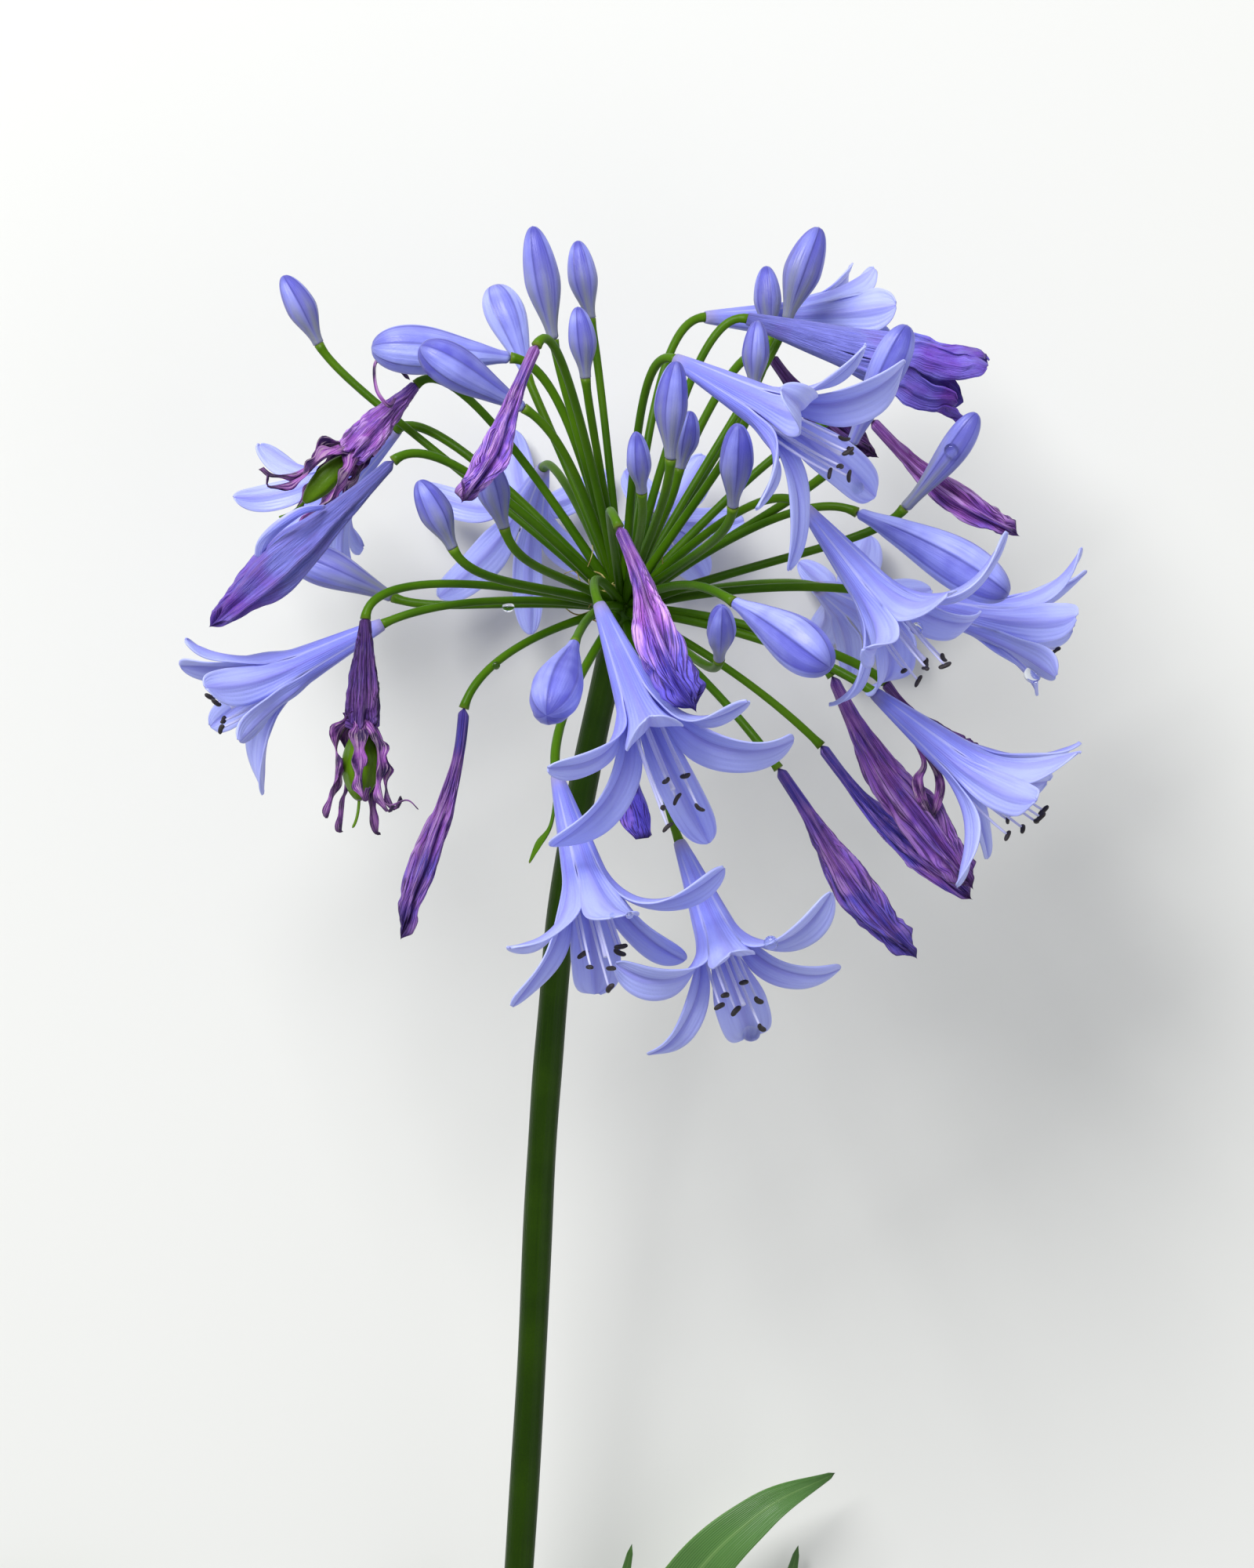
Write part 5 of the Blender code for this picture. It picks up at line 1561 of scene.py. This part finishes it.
class AGAPANTHUS_OT_foot(Operator):
    """Adds the joined leaf bases at the plant's foot"""
    bl_idname = "agapanthus.foot"
    bl_label = "Foot"

    def execute(self, context):
        low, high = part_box("leaf_base")
        middle = (low + high) / 2
        half_wide, half_high = (high.x - low.x) / 2, (high.z - low.z) / 2
        axis = stem_points(30)[-1]

        def place(across, along):
            turn = 2 * math.pi * across
            laps = 0.05 * (math.fmod(across * 4 + 0.13, 1.0)) + 0.012 * math.cos(46 * turn)
            if along < 0.25:
                share, level = along / 0.25, low.y + 0.25 * MM * math.cos(18 * along / 0.25)
                rim = 0.92 * share
            elif along < 0.75:
                share = (along - 0.25) / 0.5
                level, rim = between(low.y, high.y, share), between(0.92, 1.0, share)
            else:
                share = (along - 0.75) / 0.25
                level, rim = high.y - 5 * MM * share, 1 - share
            edge = rim * (1 - 0.05 + laps)
            outer, inner = (Vector((spot.x, level, spot.z)) for spot in (middle, axis))
            centre = outer.lerp(inner, max(0, along - 0.75) * 4)
            point = centre + Vector((math.cos(turn) * half_wide, 0, math.sin(turn) * half_high * 1.06)) * edge
            point.z = min(max(point.z, low.z), high.z)
            return point

        shape = new_shape()
        sheet(shape, 96, 72, place)
        add_piece("joined_leaf_bases", closed_mesh(shape, "foot"), ["foot_skin"], "foot", ["leaf_base"])
        return {"FINISHED"}


class AGAPANTHUS_OT_threads(Operator):
    """Adds the dry threads of the bracts round the dome"""
    bl_idname = "agapanthus.threads"
    bl_label = "Dry threads"

    def execute(self, context):
        draw = random.Random("threads")
        shares = [number / (THREAD_ROWS - 1) for number in range(THREAD_ROWS)]
        radii = [between(0.28, 0.10, share) * MM for share in shares]
        shape = new_shape()
        for _ in range(THREADS):
            way = Vector((draw.uniform(-1, 1), draw.uniform(-0.6, 1), draw.uniform(-0.3, 1))).normalized()
            side = way.orthogonal().normalized()
            start = HEAD_CENTRE + way * DOME_RADIUS * 0.9
            reach = draw.uniform(5, 11) * MM
            loops = draw.uniform(0.5, 1.6)
            line = []
            for share in shares:
                angle = 2 * math.pi * loops * share
                sway = side * math.sin(angle) + way.cross(side) * (1 - math.cos(angle))
                line.append(start + way * reach * share + sway * reach * 0.22 * share)
            tube(shape, line, radii, THREAD_SIDES)
        add_piece("dry_threads", closed_mesh(shape, "dry_threads"), ["thread_skin"], "stalk", [])
        return {"FINISHED"}


class AGAPANTHUS_OT_drops(Operator):
    """Adds the drops of water on the petals and stalks"""
    bl_idname = "agapanthus.drops"
    bl_label = "Drops"

    def execute(self, context):
        down = -GROWS_UP.normalized()
        shape = new_shape()
        for carrier, near, radius in DROPS:
            piece = bpy.data.objects[carrier]
            found, point, normal, _ = piece.closest_point_on_mesh(HEAD_CENTRE + Vector(near) * MM)
            if not found:
                raise RuntimeError(f"no surface for a drop on {carrier}")
            lean = (normal + down * 0.5).normalized()
            turn = lean.to_track_quat("Z", "X").to_matrix().to_4x4()
            seat = Matrix.Translation(point + lean * radius * 0.40 * MM)
            ball = bmesh.ops.create_uvsphere(shape, u_segments=20, v_segments=14, radius=radius * MM)["verts"]
            bmesh.ops.scale(shape, verts=ball, vec=DROP_FORM)
            bmesh.ops.transform(shape, verts=ball, matrix=seat @ turn)
        for face in shape.faces:
            face.smooth = True
        add_piece("water_drops", closed_mesh(shape, "water_drops"), ["water"], "water_drop", [])
        return {"FINISHED"}


class AGAPANTHUS_OT_bits(Operator):
    """Adds the folded lobe, the dried lobes and threads, and the young shoot beside a flower"""
    bl_idname = "agapanthus.bits"
    bl_label = "Loose lobes and threads"

    def execute(self, context):
        for name, slot, finish, points, halves in BITS:
            line = smooth_line([HEAD_CENTRE + Vector(point) * MM for point in points], BIT_ROWS)
            wide = [half * MM for half in smooth_values(halves, BIT_ROWS)]
            shape = new_shape()
            blade(shape, frames_along(line), wide, BIT_THICKNESS, BIT_COLUMNS,
                  lift=lambda side, along: -0.55 * side ** 2 + 0.12 * math.sin(5 * side + 9 * along))
            add_piece(name, closed_mesh(shape, name), [finish], slot, [])
        return {"FINISHED"}


class AGAPANTHUS_OT_stage(Operator):
    """Adds the plain floor, the soft lights and the camera"""
    bl_idname = "agapanthus.stage"
    bl_label = "Stage"

    def execute(self, context):
        scene = context.scene
        shape = new_shape()
        bmesh.ops.create_grid(shape, x_segments=1, y_segments=1, size=FLOOR_REACH)
        mesh = mesh_from(shape, "floor")
        mesh.materials.append(material_named("floor"))
        ground = bpy.data.objects.new("floor", mesh)
        scene.collection.objects.link(ground)
        ground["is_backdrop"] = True
        for name, place, size, power in LIGHTS:
            light = bpy.data.lights.new(name, "AREA")
            light.size = size
            light.energy = power
            lamp = bpy.data.objects.new(name, light)
            lamp.location = place
            lamp.rotation_euler = (HEAD_CENTRE - Vector(place)).to_track_quat("-Z", "Y").to_euler()
            scene.collection.objects.link(lamp)
        scene.world = bpy.data.worlds.new("studio")
        scene.world.use_nodes = True
        sky = scene.world.node_tree.nodes["Background"]
        sky.inputs["Color"].default_value = SKY_COLOUR
        sky.inputs["Strength"].default_value = SKY_STRENGTH
        scene.view_settings.view_transform = "Standard"
        lens = bpy.data.cameras.new("camera")
        lens.sensor_fit = "VERTICAL"
        lens.sensor_width = SENSOR
        lens.sensor_height = SENSOR
        lens.lens = SENSOR * CAMERA_DISTANCE / PICTURE_HEIGHT
        lens.clip_end = CAMERA_SIGHT
        camera = bpy.data.objects.new("camera", lens)
        camera.location = HEAD_CENTRE + Vector((CAMERA_SHIFT.x, CAMERA_SHIFT.y, CAMERA_DISTANCE))
        scene.collection.objects.link(camera)
        scene.camera = camera
        return {"FINISHED"}


class AGAPANTHUS_PT_panel(Panel):
    """Lists the plant's pieces, sizes and colours"""
    bl_idname = "AGAPANTHUS_PT_panel"
    bl_label = "Agapanthus"
    bl_space_type = "VIEW_3D"
    bl_region_type = "UI"
    bl_category = "Agapanthus"

    def draw(self, context):
        for operator in OPERATORS:
            self.layout.operator(operator.bl_idname)
        for group in (context.scene.agapanthus_sizes, context.scene.agapanthus_colours):
            box = self.layout.box()
            for key in group.__annotations__:
                box.prop(group, key)


OPERATORS = (
    AGAPANTHUS_OT_stage,
    AGAPANTHUS_OT_open_flowers,
    AGAPANTHUS_OT_buds,
    AGAPANTHUS_OT_faded_flowers,
    AGAPANTHUS_OT_seed_pods,
    AGAPANTHUS_OT_flower_stalks,
    AGAPANTHUS_OT_stem,
    AGAPANTHUS_OT_leaves,
    AGAPANTHUS_OT_foot,
    AGAPANTHUS_OT_threads,
    AGAPANTHUS_OT_drops,
    AGAPANTHUS_OT_bits,
)
CLASSES = (AgapanthusSizes, AgapanthusColours, *OPERATORS, AGAPANTHUS_PT_panel)


def blooms_of(*kinds):
    """The blooms of those kinds."""
    return [bloom for bloom in BLOOMS if bloom.kind in kinds]


def register():
    """Registers the classes and their settings."""
    for entry in CLASSES:
        bpy.utils.register_class(entry)
    bpy.types.Scene.agapanthus_sizes = PointerProperty(type=AgapanthusSizes)
    bpy.types.Scene.agapanthus_colours = PointerProperty(type=AgapanthusColours)


def unregister():
    """Removes what register added."""
    del bpy.types.Scene.agapanthus_colours
    del bpy.types.Scene.agapanthus_sizes
    for entry in reversed(CLASSES):
        bpy.utils.unregister_class(entry)


def main():
    """Adds every piece."""
    register()
    for operator in OPERATORS:
        group, name = operator.bl_idname.split(".")
        getattr(getattr(bpy.ops, group), name)()
    boxes = {"cad": CAD_BOX, "visual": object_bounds()}
    sizes = {key: [list(corner) for corner in box] for key, box in boxes.items()}


if __name__ == "__main__":
    main()
